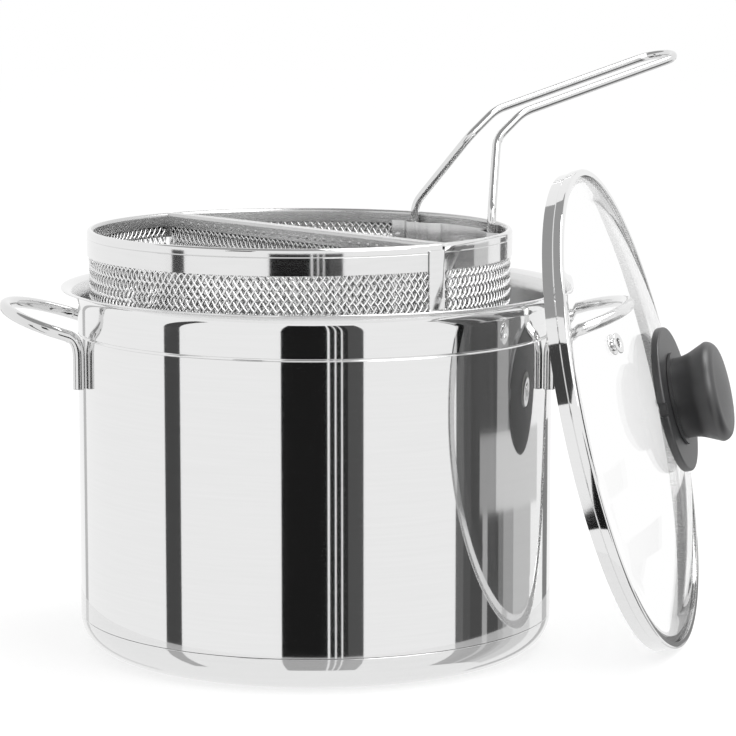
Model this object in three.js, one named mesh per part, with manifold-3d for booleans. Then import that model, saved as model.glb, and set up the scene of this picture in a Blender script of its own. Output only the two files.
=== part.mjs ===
// Stockpot with two half-round mesh baskets, a lift handle that plugs into them and a glass lid.
// Millimetres, +Z up, origin on the pot's axis at the surface it stands on, side handles along X.
import * as THREE from 'three';
import { mergeVertices } from 'three/addons/utils/BufferGeometryUtils.js';
import Module from 'manifold-3d';

// Clearance between pieces that touch on the real object
const FIT = 0.3;

// Pot
const POT_RADIUS = 120;
const POT_HEIGHT = 184;
const POT_WALL = 0.8;
const POT_CORNER = 17;
const LIP_REACH = 8;
const LEVEL_LINE_DROP = 22.5;
const LEVEL_LINE_WIDTH = 1.6;
const LEVEL_LINE_DEPTH = 0.5;

// Heat-spreading base: an aluminium disc under the pot's floor, closed in by a steel cap
const CORE_THICKNESS = 4;
const CAP_WALL = 0.6;
const CAP_UPRIGHT = 0.5;
const SHOULDER_HEIGHT = 1.2;

// Side handles, bent from round wire
const SIDE_WIRE = 6;
const SIDE_HALF_SPAN = 40;
const SIDE_REACH = 37;
const SIDE_STRAIGHT = 10;
const SIDE_TILT = 17.5;
const SIDE_DROP = 23;
const SIDE_LEG = 25;
const SIDE_BEND = 9;

// Half baskets
const BASKET_CLEARANCE = 11.8;
const BASKET_NEAR_GAP = 4.2;
const BASKET_RISE = 29;
const SPLIT_ANGLE = 131;
const SPLIT_GAP = 1.5;
const SHEET = 0.6;
const RIM_OUTSIDE = 13;
const RIM_INSIDE = 7;
const RIM_EDGE = 0.8;
const HOOP_CORNER = 10;
const HOOP_UPRIGHT = 8;
const HOOP_FLANGE = 8;
const SEAM_STRIP_WIDTH = 9.5;
const SEAM_STRIP_DROP = 3;
const SEAM_STRIP_LAP = 5;

// Wire mesh, drawn open with far fewer wires than the cloth
const MESH_WIRE = 0.8;
const MESH_LAYER_GAP = 0.04;
const MESH_HEM = 5;
const WALL_PANELS = 6;
const PANEL_COLUMNS = 2;
const DIVIDER_COLUMNS = 6;
const MESH_ROWS = 5;
const FLOOR_WIRES = 6;
const MESH_SIDE_HEM = 3;
const HEM_COVER = 0.03;
const LATTICE_COVER = 0.1;

// Bracket that takes the lift handle's legs, and the handle's wire
const BRACKET_OFFSET_ANGLE = -7;
const BRACKET_DROP = 5;
const BRACKET_HEIGHT = 17;
const BRACKET_SHEET = 1;
const BRACKET_TAB = 8;
const SLEEVE_FLAT = 14;
const SLEEVE_SLOPE = 4.5;
const LIFT_WIRE = 4.5;
const LIFT_LEG_SPAN = 70;
const LIFT_GRIP_SPAN = 24;
const LIFT_LEG_RISE = 4.2;
const LIFT_SHOULDER = { out: 13.7, up: 36.8 };
const LIFT_NECK = { out: 16.6, up: 12.9 };
const LIFT_GRIP = { out: 95.5, up: 24.3 };
const LIFT_BEND = 9;

// Lid, leaning on the right side handle
const LID_OVERHANG = 3.7;
const LID_STEP = 0.8;
const LID_BAND_HEIGHT = 10.2;
const LID_BAND_WALL = 0.5;
const LID_FLANGE = 3.4;
const LID_SEAT = 6;
const GLASS_THICKNESS = 3.5;
const GLASS_RISE = 28;
const GLASS_EDGE = 10;
const LID_TURN = -15;
const LID_LEAN = 13.5;
const LID_SIDESTEP = -6;
const LEAN_GAP = 0.35;
const VENT_RADIUS = 69.5;
const VENT_ANGLE = 146;
const EYELET_BORE = 4;
const EYELET_WALL = 0.8;
const EYELET_FLANGE = 2.4;
const EYELET_FLANGE_THICKNESS = 0.8;

// Knob and its fixing
const KNOB_BASE_RADIUS = 37;
const KNOB_BASE_THICKNESS = 4.4;
const KNOB_NOTCH = { wide: 7, deep: 3 };
const KNOB_RADIUS = 25.5;
const KNOB_NECK_RADIUS = 21.5;
const KNOB_HEIGHT = 23;
const KNOB_EDGE = 5;
const SCREW_RADIUS = 2.4;
const SCREW_HEAD_RADIUS = 5;
const SCREW_HEAD_HEIGHT = 3;
const SCREW_HEAD_FLAT = 3.5;
const SCREW_BITE = 13;
const SEAL_RADIUS = 10;
const SEAL_THICKNESS = 0.8;
const WASHER_RADIUS = 8;
const WASHER_THICKNESS = 1;

// Facet counts
const ROUND_STEPS = 36;
const KNOB_STEPS = 24;
const SMALL_STEPS = 16;
const HALF_STEPS = 28;
const WIRE_SIDES = 8;
const ARC_STEPS = 3;
const STRIP_STEPS = 3;
const DOME_SHARES = [1, 0.8, 0.55, 0.3];
const MERGE_DISTANCE = 1e-4;
const LEAN_ROUNDS = 8;

const wasm = await Module();
wasm.setup();

const rad = THREE.MathUtils.degToRad;
const at = (x, y, z = 0) => new THREE.Vector3(x, y, z);
const flat = (x, y) => new THREE.Vector2(x, y);

// A closed surface from corner points and triangles, turned so that its faces point out
function closed(points, triangles) {
  let volume = 0;
  const cross = at(0, 0);
  for (const [a, b, c] of triangles) {
    volume += points[a].dot(cross.crossVectors(points[b], points[c]));
  }
  const geometry = new THREE.BufferGeometry();
  geometry.setFromPoints(points);
  geometry.setIndex(triangles.flatMap(([a, b, c]) => (volume > 0 ? [a, b, c] : [a, c, b])));
  return geometry;
}

// Skin over equal loops of points; the loops close on themselves, or their ends are capped
function loft(loops, isRing) {
  const count = loops[0].length;
  const points = loops.flat();
  const triangles = [];
  const bands = isRing ? loops.length : loops.length - 1;
  for (let i = 0; i < bands; i += 1) {
    const low = i * count;
    const high = ((i + 1) % loops.length) * count;
    for (let j = 0; j < count; j += 1) {
      const next = (j + 1) % count;
      triangles.push([low + j, low + next, high + next], [low + j, high + next, high + j]);
    }
  }
  if (!isRing) {
    const last = (loops.length - 1) * count;
    for (let j = 1; j < count - 1; j += 1) {
      triangles.push([0, j + 1, j], [last, last + j, last + j + 1]);
    }
  }
  return closed(points, triangles);
}

// Solid of revolution about Z from a closed outline of (radius, height) points
function turned(outline, steps) {
  const loop = outline.map(([r, z]) => flat(r, z));
  if (outline[0][0] > 0) {
    loop.push(loop[0].clone());
  }
  const geometry = new THREE.LatheGeometry(loop, steps).rotateX(Math.PI / 2);
  return outward(bare(geometry));
}

// Only positions are kept, with shared corners merged and slivers at the axis dropped
function bare(geometry) {
  geometry.deleteAttribute('normal');
  geometry.deleteAttribute('uv');
  const merged = mergeVertices(geometry, MERGE_DISTANCE);
  const index = merged.getIndex().array;
  const kept = [];
  for (let i = 0; i < index.length; i += 3) {
    const [a, b, c] = index.slice(i, i + 3);
    if (a !== b && b !== c && c !== a) {
      kept.push(a, b, c);
    }
  }
  merged.setIndex(kept);
  return merged;
}

function outward(geometry) {
  const position = geometry.getAttribute('position');
  const index = geometry.getIndex().array;
  const corner = (_, i) => at(0, 0).fromBufferAttribute(position, i);
  const points = Array.from({ length: position.count }, corner);
  const triangles = [];
  for (let i = 0; i < index.length; i += 3) {
    triangles.push([index[i], index[i + 1], index[i + 2]]);
  }
  return closed(points, triangles);
}

function toSolid(geometry) {
  return new wasm.Manifold(new wasm.Mesh({
    numProp: 3,
    vertProperties: new Float32Array(geometry.getAttribute('position').array),
    triVerts: new Uint32Array(geometry.getIndex().array),
  }));
}

function toGeometry(solid) {
  const mesh = solid.getMesh();
  const geometry = new THREE.BufferGeometry();
  geometry.setAttribute('position', new THREE.BufferAttribute(mesh.vertProperties, 3));
  geometry.setIndex(new THREE.BufferAttribute(mesh.triVerts, 1));
  return geometry;
}

function joined(geometries) {
  return toGeometry(geometries.map(toSolid).reduce((all, one) => all.add(one)));
}

function cut(geometry, tools) {
  const solids = tools.map(toSolid);
  return toGeometry(solids.reduce((rest, tool) => rest.subtract(tool), toSolid(geometry)));
}

// Quarter arc about (cr, cz) in an outline, from one angle to another
function arc(cr, cz, radius, from, to) {
  return Array.from({ length: ARC_STEPS + 1 }, (_, i) => {
    const angle = rad(from + ((to - from) * i) / ARC_STEPS);
    return [cr + radius * Math.cos(angle), cz + radius * Math.sin(angle)];
  });
}

// Straight runs of wire with each corner rounded to the bend length
function bentPath(corners, bend) {
  const path = [corners[0]];
  const towards = (corner, other) => {
    const run = other.clone().sub(corner);
    return corner.clone().add(run.setLength(Math.min(bend, run.length() / 2)));
  };
  for (let i = 1; i < corners.length - 1; i += 1) {
    const start = towards(corners[i], corners[i - 1]);
    const end = towards(corners[i], corners[i + 1]);
    path.push(...new THREE.QuadraticBezierCurve3(start, corners[i], end).getPoints(ARC_STEPS));
  }
  path.push(corners[corners.length - 1]);
  return path;
}

// Round wire along a path of points, with flat ends
function wire(path, radius, sides) {
  let normal = null;
  const loops = path.map((point, i) => {
    const ahead = path[Math.min(i + 1, path.length - 1)];
    const behind = path[Math.max(i - 1, 0)];
    const along = ahead.clone().sub(behind).normalize();
    normal ??= Math.abs(along.z) < 0.9 ? at(0, 0, 1) : at(1, 0);
    normal = normal.clone().addScaledVector(along, -normal.dot(along)).normalize();
    const across = along.clone().cross(normal);
    return Array.from({ length: sides }, (_, k) => {
      const angle = (2 * Math.PI * (k + 0.5)) / sides;
      return point.clone()
        .addScaledVector(normal, radius * Math.cos(angle))
        .addScaledVector(across, radius * Math.sin(angle));
    });
  });
  return loft(loops, false);
}

const finish = (color, roughness, metalness, more = {}) => new THREE.MeshStandardMaterial({
  color, roughness, metalness, ...more,
});
const polishedSteel = () => finish(0xd4d4d2, 0.18, 1);
const wireSteel = () => finish(0xd4d4d2, 0.3, 1);
const aluminium = () => finish(0xc6c8ca, 0.45, 1);
const blackPlastic = () => finish(0x262626, 0.5, 0);
const silicone = () => finish(0xdedede, 0.6, 0);
const glass = () => finish(0xf2f6f4, 0.04, 0, { transparent: true, opacity: 0.3 });

function piece(name, geometry, material) {
  const mesh = new THREE.Mesh(geometry, material);
  mesh.name = name;
  return mesh;
}

// The pot's heights and radii that its other pieces take up
const coreLow = CAP_WALL + FIT;
const floorLow = coreLow + CORE_THICKNESS + FIT;
const floorTop = floorLow + POT_WALL;
const innerRadius = POT_RADIUS - POT_WALL;
const shellStep = CAP_WALL + FIT;
const capTop = POT_CORNER + CAP_UPRIGHT;

// Pot body: a drawn shell with a rounded corner, a pressed level line and a flared pouring lip
function potBody() {
  const lineHeight = POT_HEIGHT - LEVEL_LINE_DROP;
  const corner = capTop - floorLow;
  const cornerCentre = POT_RADIUS - shellStep - corner;
  const lipEdge = POT_RADIUS + LIP_REACH;
  const lipCentre = POT_HEIGHT - POT_WALL - LIP_REACH;
  return turned([
    [0, floorLow],
    ...arc(cornerCentre, capTop, corner, -90, 0),
    [POT_RADIUS, capTop + SHOULDER_HEIGHT],
    [POT_RADIUS, lineHeight - LEVEL_LINE_WIDTH / 2],
    [POT_RADIUS - LEVEL_LINE_DEPTH, lineHeight],
    [POT_RADIUS, lineHeight + LEVEL_LINE_WIDTH / 2],
    ...arc(lipEdge, lipCentre, LIP_REACH, 180, 90),
    [lipEdge + POT_WALL / 2, POT_HEIGHT - POT_WALL / 2],
    ...arc(lipEdge, lipCentre, LIP_REACH + POT_WALL, 90, 180),
    [innerRadius, capTop + SHOULDER_HEIGHT],
    ...arc(cornerCentre, capTop, corner - POT_WALL, 0, -90),
    [0, floorTop],
  ], ROUND_STEPS);
}

// Base cap: a pressed steel cup round the pot's bottom corner, flush with the wall above it
function baseCap() {
  const cornerCentre = POT_RADIUS - POT_CORNER;
  return turned([
    [0, 0],
    ...arc(cornerCentre, POT_CORNER, POT_CORNER, -90, 0),
    [POT_RADIUS, capTop],
    [POT_RADIUS - CAP_WALL, capTop],
    ...arc(cornerCentre, POT_CORNER, POT_CORNER - CAP_WALL, 0, -90),
    [0, CAP_WALL],
  ], ROUND_STEPS);
}

function baseCore() {
  const radius = POT_RADIUS - POT_CORNER;
  const top = coreLow + CORE_THICKNESS;
  return turned([[0, coreLow], [radius, coreLow], [radius, top], [0, top]], ROUND_STEPS);
}

// Side handle on +X: two legs welded down the wall, bent out and closed by a bowed loop
const sideLegRadius = POT_RADIUS + FIT + SIDE_WIRE / 2;
const sideRoot = Math.sqrt(sideLegRadius ** 2 - SIDE_HALF_SPAN ** 2);
const sideBendHeight = POT_HEIGHT - SIDE_DROP;

function sidePath() {
  const tilt = rad(SIDE_TILT);
  const tip = (POT_RADIUS + SIDE_REACH - sideRoot) / Math.cos(tilt);
  const steps = 2 * ARC_STEPS + 2;
  const bow = Array.from({ length: steps + 1 }, (_, i) => {
    const angle = Math.PI * (i / steps - 0.5);
    const out = SIDE_STRAIGHT + (tip - SIDE_STRAIGHT) * Math.cos(angle);
    const x = sideRoot + out * Math.cos(tilt);
    return at(x, SIDE_HALF_SPAN * Math.sin(angle), sideBendHeight + out * Math.sin(tilt));
  });
  const foot = (y) => at(sideRoot, y, sideBendHeight - SIDE_LEG);
  const knee = (y) => at(sideRoot, y, sideBendHeight);
  const near = bentPath([foot(-SIDE_HALF_SPAN), knee(-SIDE_HALF_SPAN), bow[0]], SIDE_BEND);
  const far = bentPath([bow[bow.length - 1], knee(SIDE_HALF_SPAN), foot(SIDE_HALF_SPAN)], SIDE_BEND);
  return [...near.slice(0, -1), ...bow, ...far.slice(1)];
}

const sideHandle = () => wire(sidePath(), SIDE_WIRE / 2, WIRE_SIDES);

// Half basket: its flat wall faces -Y and its round wall +Y, about the basket's axis
const basketRadius = innerRadius - BASKET_CLEARANCE;
const basketShift = BASKET_CLEARANCE - BASKET_NEAR_GAP;
const basketLow = floorTop + FIT;
const basketTop = POT_HEIGHT + BASKET_RISE;
const layerOffset = (MESH_WIRE + MESH_LAYER_GAP) / 2;
const hemHalf = layerOffset + MESH_WIRE / 2 + HEM_COVER;
const rimThickness = 2 * (SHEET + FIT + hemHalf);
const meshInset = SHEET + FIT + hemHalf;
const hoopTop = basketLow + HOOP_CORNER + HOOP_UPRIGHT;

// Plan outline of a half basket, drawn in by an inset, at a height
function halfOutline(inset, z) {
  const radius = basketRadius - inset;
  const corner = Math.asin((SPLIT_GAP / 2 + inset) / radius);
  return Array.from({ length: HALF_STEPS + 1 }, (_, i) => {
    const angle = corner + ((Math.PI - 2 * corner) * i) / HALF_STEPS;
    return at(radius * Math.cos(angle), radius * Math.sin(angle), z);
  });
}

// Sheet strip that follows the whole outline, from a closed outline of (inset, height) points
const strip = (outline) => loft(outline.map(([inset, z]) => halfOutline(inset, z)), true);

// Rim band: folded over the mesh, higher outside than inside
function rimBand() {
  const inner = rimThickness - SHEET;
  return strip([
    [0, basketTop - RIM_OUTSIDE],
    [0, basketTop - RIM_EDGE],
    [RIM_EDGE, basketTop],
    [rimThickness - RIM_EDGE, basketTop],
    [rimThickness, basketTop - RIM_EDGE],
    [rimThickness, basketTop - RIM_INSIDE],
    [inner, basketTop - RIM_INSIDE],
    [inner, basketTop - SHEET],
    [SHEET, basketTop - SHEET],
    [SHEET, basketTop - RIM_OUTSIDE],
  ]);
}

// Base hoop: an upright edge, a rounded corner that clears the pot's own, and a flange for the floor
function baseHoop() {
  const centre = basketLow + HOOP_CORNER;
  return strip([
    [0, hoopTop],
    ...arc(HOOP_CORNER, centre, HOOP_CORNER, 180, 270),
    [HOOP_CORNER + HOOP_FLANGE, basketLow],
    [HOOP_CORNER + HOOP_FLANGE, basketLow + SHEET],
    ...arc(HOOP_CORNER, centre, HOOP_CORNER - SHEET, 270, 180),
    [SHEET, hoopTop],
  ]);
}

// Block in a sheet's own coordinates (along, up, out), divided along its length
function sheetBlock(place, along, up, out, steps) {
  const corners = [[up[0], out[0]], [up[1], out[0]], [up[1], out[1]], [up[0], out[1]]];
  const loops = Array.from({ length: steps + 1 }, (_, i) => {
    const u = along[0] + ((along[1] - along[0]) * i) / steps;
    return corners.map(([v, w]) => place(u, v, w));
  });
  return loft(loops, false);
}

// One straight three-sided mesh wire between two points in a sheet's own coordinates
function meshWire(place, ends, out) {
  const radius = MESH_WIRE / 2;
  const [first, last] = ends;
  const length = Math.hypot(last[0] - first[0], last[1] - first[1]);
  const side = [-(last[1] - first[1]) / length, (last[0] - first[0]) / length];
  const loops = ends.map(([u, v]) => [90, 210, 330].map((angle) => {
    const across = radius * Math.cos(rad(angle));
    return place(u + side[0] * across, v + side[1] * across, out + radius * Math.sin(rad(angle)));
  }));
  return loft(loops, false);
}

const meshLow = hoopTop - FIT;
const meshTop = basketTop - SHEET - FIT;
const meshUp = [meshLow, meshTop - MESH_HEM];
const dividerPlane = SPLIT_GAP / 2 + meshInset;
const meshRadius = basketRadius - meshInset;

// Outline and gaps of a lattice of crossing wires whose ends sink into hems above and below it. Its sides
// are cut through the crossings, so that the wires run on in the next panel.
function latticePlan(wide) {
  const [low, high] = meshUp;
  const a = wide / PANEL_COLUMNS / 2;
  const b = (high - low) / MESH_ROWS / 2;
  const share = 1 - ((MESH_WIRE / 2) * Math.hypot(a, b)) / (a * b);
  const side = FIT / 2;
  const sink = MESH_HEM / 2;
  const reach = b * (share - side / a);
  const levels = Array.from({ length: MESH_ROWS }, (_, j) => low + (2 * j + 1) * b);
  const sideNotches = (u, apex) => levels.flatMap((v) => [
    flat(u, v - reach), flat(apex, v), flat(u, v + reach),
  ]);
  const middles = Array.from({ length: PANEL_COLUMNS }, (_, i) => (2 * i + 1) * a);
  const endNotches = (v, apex) => middles.flatMap((u) => [
    flat(u - a * share, v), flat(u, apex), flat(u + a * share, v),
  ]);
  const plan = new THREE.Shape([
    flat(side, low - sink),
    ...endNotches(low - sink, low + b * share),
    flat(wide - side, low - sink),
    ...sideNotches(wide - side, wide - a * share),
    flat(wide - side, high + sink),
    ...endNotches(high + sink, high - b * share).reverse(),
    flat(side, high + sink),
    ...sideNotches(side, a * share).reverse(),
  ]);
  for (let i = 1; i < 2 * PANEL_COLUMNS; i += 1) {
    const middle = i * a;
    for (let j = 1 + (i % 2); j < 2 * MESH_ROWS; j += 2) {
      const level = low + j * b;
      const corners = [[-share, 0], [0, -share], [share, 0], [0, share]];
      plan.holes.push(new THREE.Path(corners.map(([u, v]) => flat(middle + a * u, level + b * v))));
    }
  }
  return plan;
}

// Round wall: one of the net panels that stand side by side on a cylinder between the two corners
function wallPanel(index) {
  const clear = dividerPlane + hemHalf + FIT;
  const corner = Math.asin(clear / (meshRadius - hemHalf));
  const sweep = (Math.PI - 2 * corner) / WALL_PANELS;
  const wide = meshRadius * sweep;
  const place = (u, v, w) => {
    const angle = Math.PI - corner - index * sweep - u / meshRadius;
    return at((meshRadius + w) * Math.cos(angle), (meshRadius + w) * Math.sin(angle), v);
  };
  const depth = 2 * (hemHalf - LATTICE_COVER);
  const lattice = new THREE.ExtrudeGeometry(latticePlan(wide), { depth, bevelEnabled: false });
  const net = bare(lattice.translate(0, 0, -depth / 2));
  const position = net.getAttribute('position');
  for (let i = 0; i < position.count; i += 1) {
    const { x, y, z } = place(position.getX(i), position.getY(i), position.getZ(i));
    position.setXYZ(i, x, y, z);
  }
  const along = [FIT / 2, wide - FIT / 2];
  const [low, high] = meshUp;
  const hem = (up) => sheetBlock(place, along, up, [-hemHalf, hemHalf], 2 * PANEL_COLUMNS);
  return joined([outward(net), hem([low - MESH_HEM, low]), hem([high, high + MESH_HEM])]);
}

// Flat wall: a framed net of two crossing layers of slanting wires that closes the half along the split
function dividerMesh() {
  const reach = basketRadius - SHEET - FIT;
  const half = Math.sqrt(reach ** 2 - (dividerPlane + hemHalf) ** 2) - FIT - MESH_SIDE_HEM;
  const [low, high] = meshUp;
  const cellWide = (2 * half) / DIVIDER_COLUMNS;
  const cellHigh = (high - low) / MESH_ROWS;
  const place = (u, v, w) => at(u, dividerPlane + w, v);
  const depth = [-hemHalf, hemHalf];
  const whole = [-half - MESH_SIDE_HEM, half + MESH_SIDE_HEM];
  const upright = [low - MESH_HEM, high + MESH_HEM];
  const solids = [
    sheetBlock(place, whole, [upright[0], low], depth, 1),
    sheetBlock(place, whole, [high, upright[1]], depth, 1),
    sheetBlock(place, [whole[0], -half], upright, depth, 1),
    sheetBlock(place, [half, whole[1]], upright, depth, 1),
  ];
  const sink = Math.min(MESH_SIDE_HEM, MESH_HEM) / 2 / Math.max(cellWide, cellHigh);
  for (const lean of [1, -1]) {
    for (let start = 1 - MESH_ROWS; start < DIVIDER_COLUMNS; start += 1) {
      const from = Math.max(0, -start) - sink;
      const to = Math.min(MESH_ROWS, DIVIDER_COLUMNS - start) + sink;
      const ends = [from, to].map((level) => [
        lean * ((start + level) * cellWide - half),
        low + level * cellHigh,
      ]);
      solids.push(meshWire(place, ends, lean * layerOffset));
    }
  }
  return joined(solids);
}

// Stretch of the line (x = start + lean * y) that lies inside a convex outline
function chord(outline, start, lean) {
  let low = -Infinity;
  let high = Infinity;
  outline.forEach((a, i) => {
    const b = outline[(i + 1) % outline.length];
    const normal = [a.y - b.y, b.x - a.x];
    const slope = normal[0] * lean + normal[1];
    const level = normal[0] * (start - a.x) - normal[1] * a.y;
    if (slope > 0) {
      low = Math.max(low, -level / slope);
    } else if (slope < 0) {
      high = Math.min(high, -level / slope);
    }
  });
  return high > low ? [low, high] : null;
}

// Floor: net in a half-round hem that lies on the hoop's flange
function floorMesh() {
  const low = basketLow + SHEET + FIT;
  const middle = low + hemHalf;
  const edge = HOOP_CORNER + FIT;
  const inner = edge + MESH_HEM;
  const hem = strip([[edge, low], [edge, low + 2 * hemHalf], [inner, low + 2 * hemHalf], [inner, low]]);
  const anchor = halfOutline((edge + inner) / 2, 0);
  const place = (x, y, out) => at(x, y, middle + out);
  const solids = [hem];
  const pitch = (2 * basketRadius) / FLOOR_WIRES;
  for (const lean of [1, -1]) {
    for (let i = -FLOOR_WIRES; i <= FLOOR_WIRES; i += 1) {
      const start = (i + 0.5) * pitch;
      const stretch = chord(anchor, start, lean);
      if (stretch && stretch[1] - stretch[0] > 2 * MESH_HEM) {
        const points = stretch.map((y) => [start + lean * y, y]);
        solids.push(meshWire(place, points, lean * layerOffset));
      }
    }
  }
  return joined(solids);
}

// Seam strip: a folded strip over the corner where the two nets meet, lapped over the rim band and the hoop
function seamStrip() {
  const inside = basketRadius + FIT;
  const outside = inside + SHEET;
  const leafBack = SPLIT_GAP / 2 - FIT;
  const leafFace = leafBack - SHEET;
  const corner = Math.PI - Math.asin(leafFace / outside);
  const end = corner - SEAM_STRIP_WIDTH / basketRadius;
  const plan = new THREE.Shape();
  plan.absarc(0, 0, outside, end, corner, false);
  plan.lineTo(-basketRadius + SEAM_STRIP_WIDTH, leafFace);
  plan.lineTo(-basketRadius + SEAM_STRIP_WIDTH, leafBack);
  plan.absarc(0, 0, inside, Math.PI - Math.asin(leafBack / inside), end, true);
  const low = hoopTop - SEAM_STRIP_LAP;
  const depth = basketTop - SEAM_STRIP_DROP - low;
  const options = { depth, bevelEnabled: false, curveSegments: STRIP_STEPS };
  const geometry = new THREE.ExtrudeGeometry(plan, options);
  return outward(bare(geometry.translate(0, 0, low)));
}

// The bracket and the lift handle share the legs' place inside the rim
const bracketInset = rimThickness + FIT;
const legInset = bracketInset + FIT + LIFT_WIRE / 2;
const legRadius = basketRadius - legInset;
const sleeveInset = legInset + LIFT_WIRE / 2 + FIT;
const bracketTop = basketTop - BRACKET_DROP;

// Handle bracket: a strip along the round wall with two raised sleeves, each wider than the leg that
// springs out against its outer end
function handleBracket() {
  const outer = LIFT_LEG_SPAN / 2 + LIFT_WIRE / 2 + FIT;
  const inner = outer - SLEEVE_FLAT;
  const foot = inner - SLEEVE_SLOPE;
  const toe = outer + SLEEVE_SLOPE;
  const right = [[foot, 0], [inner, 1], [outer, 1], [toe, 0], [toe + BRACKET_TAB, 0]];
  const middle = [-1, 0, 1].map((i) => [(i * foot) / 2, 0]);
  const left = right.map(([t, rise]) => [-t, rise]).reverse();
  const outline = [...left, ...middle, ...right];
  const place = (t, z, inset) => {
    const angle = Math.PI / 2 + rad(BRACKET_OFFSET_ANGLE) + t / legRadius;
    const radius = basketRadius - inset;
    return at(radius * Math.cos(angle), radius * Math.sin(angle), z);
  };
  const low = bracketTop - BRACKET_HEIGHT;
  const loops = outline.map(([t, rise]) => {
    const back = bracketInset + rise * (sleeveInset - bracketInset);
    const face = back + BRACKET_SHEET;
    const corners = [[low, back], [bracketTop, back], [bracketTop, face], [low, face]];
    return corners.map(([z, inset]) => place(t, z, inset));
  });
  return loft(loops, false);
}

// Lift handle: one wire, from one leg up and out to the grip's round end and back to the other leg
function liftHandle() {
  const middle = Math.PI / 2 + rad(BRACKET_OFFSET_ANGLE);
  const legAngle = LIFT_LEG_SPAN / 2 / legRadius;
  const outwards = at(Math.cos(middle), Math.sin(middle));
  const sideways = at(-Math.sin(middle), Math.cos(middle));
  const place = (out, side, z) => {
    const level = outwards.clone().multiplyScalar(out).addScaledVector(sideways, side);
    return level.setZ(z);
  };
  const legOut = legRadius * Math.cos(legAngle);
  const legSide = legRadius * Math.sin(legAngle);
  const grip = LIFT_GRIP_SPAN / 2;
  const legLow = bracketTop - BRACKET_HEIGHT;
  const legTop = basketTop + LIFT_LEG_RISE;
  const shoulder = [legRadius + LIFT_SHOULDER.out, legTop + LIFT_SHOULDER.up];
  const neck = [shoulder[0] + LIFT_NECK.out, shoulder[1] + LIFT_NECK.up];
  const slope = LIFT_GRIP.up / LIFT_GRIP.out;
  const gripEnd = [neck[0] + LIFT_GRIP.out, neck[1] + LIFT_GRIP.up];
  const leg = (side) => bentPath([
    place(legOut, side * legSide, legLow),
    place(legOut, side * legSide, legTop),
    place(shoulder[0], side * grip, shoulder[1]),
    place(neck[0], side * grip, neck[1]),
    place(gripEnd[0], side * grip, gripEnd[1]),
  ], LIFT_BEND);
  const end = Array.from({ length: 2 * ARC_STEPS - 1 }, (_, i) => {
    const angle = Math.PI / 2 - (Math.PI * (i + 1)) / (2 * ARC_STEPS);
    const out = grip * Math.cos(angle);
    return place(gripEnd[0] + out, grip * Math.sin(angle), gripEnd[1] + out * slope);
  });
  return wire([...leg(1), ...end, ...leg(-1).reverse()], LIFT_WIRE / 2, WIRE_SIDES);
}

// Lid, in its own frame: Z along its axis, zero at the band's lower edge
const lidRadius = POT_RADIUS + LID_OVERHANG;
const glassRadius = lidRadius - LID_STEP - LID_BAND_WALL - FIT;
const glassEdgeTop = LID_BAND_HEIGHT - LID_BAND_WALL - FIT;
const screwHole = SCREW_RADIUS + FIT;
const domeReach = glassRadius - GLASS_EDGE;
const domeRise = GLASS_RISE - glassEdgeTop;
const domeRadius = (domeReach ** 2 + domeRise ** 2) / (2 * domeRise);
const domeTop = (r) => GLASS_RISE - domeRadius + Math.sqrt(domeRadius ** 2 - r ** 2);
const domeUnder = (r) => domeTop(r) - GLASS_THICKNESS;

// Glass: a shallow dome with a flat edge and a hole for the knob's screw
function lidGlass() {
  const radii = DOME_SHARES.map((share) => share * domeReach);
  const edgeLow = glassEdgeTop - GLASS_THICKNESS;
  const plain = turned([
    [screwHole, domeUnder(screwHole)],
    ...radii.slice(1).reverse().map((r) => [r, domeUnder(r)]),
    [domeReach, edgeLow],
    [glassRadius, edgeLow],
    [glassRadius, glassEdgeTop],
    ...radii.map((r) => [r, domeTop(r)]),
    [screwHole, domeTop(screwHole)],
  ], ROUND_STEPS);
  const bore = new THREE.CylinderGeometry(ventBore, ventBore, 4 * GLASS_THICKNESS, SMALL_STEPS);
  bore.rotateX(Math.PI / 2).applyMatrix4(ventPlace());
  return cut(plain, [bare(bore)]);
}

// Band: a rolled steel strip that holds the glass edge from above and below, stepped to sit in the lip
function lidBand() {
  const low = lidRadius - LID_STEP;
  const step = LID_BAND_HEIGHT / 2;
  const seat = glassEdgeTop - GLASS_THICKNESS - FIT;
  return turned([
    [low - LID_BAND_WALL, 0],
    [low, 0],
    [low, step],
    [lidRadius, step + LID_STEP],
    [lidRadius, LID_BAND_HEIGHT],
    [lidRadius - LID_FLANGE, LID_BAND_HEIGHT],
    [lidRadius - LID_FLANGE, LID_BAND_HEIGHT - LID_BAND_WALL],
    [low - LID_BAND_WALL, LID_BAND_HEIGHT - LID_BAND_WALL],
    [low - LID_BAND_WALL, seat],
    [low - LID_SEAT, seat],
    [low - LID_SEAT, seat - LID_BAND_WALL],
    [low - LID_BAND_WALL, seat - LID_BAND_WALL],
  ], ROUND_STEPS);
}

// Vent eyelet: a tubular rivet square to the dome
const ventBore = EYELET_BORE / 2 + EYELET_WALL + FIT;

function ventPlace() {
  const angle = rad(VENT_ANGLE);
  const slope = Math.asin(VENT_RADIUS / domeRadius);
  const place = new THREE.Matrix4().makeRotationZ(angle);
  place.multiply(new THREE.Matrix4().makeTranslation(VENT_RADIUS, 0, domeTop(VENT_RADIUS)));
  return place.multiply(new THREE.Matrix4().makeRotationY(slope));
}

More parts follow.
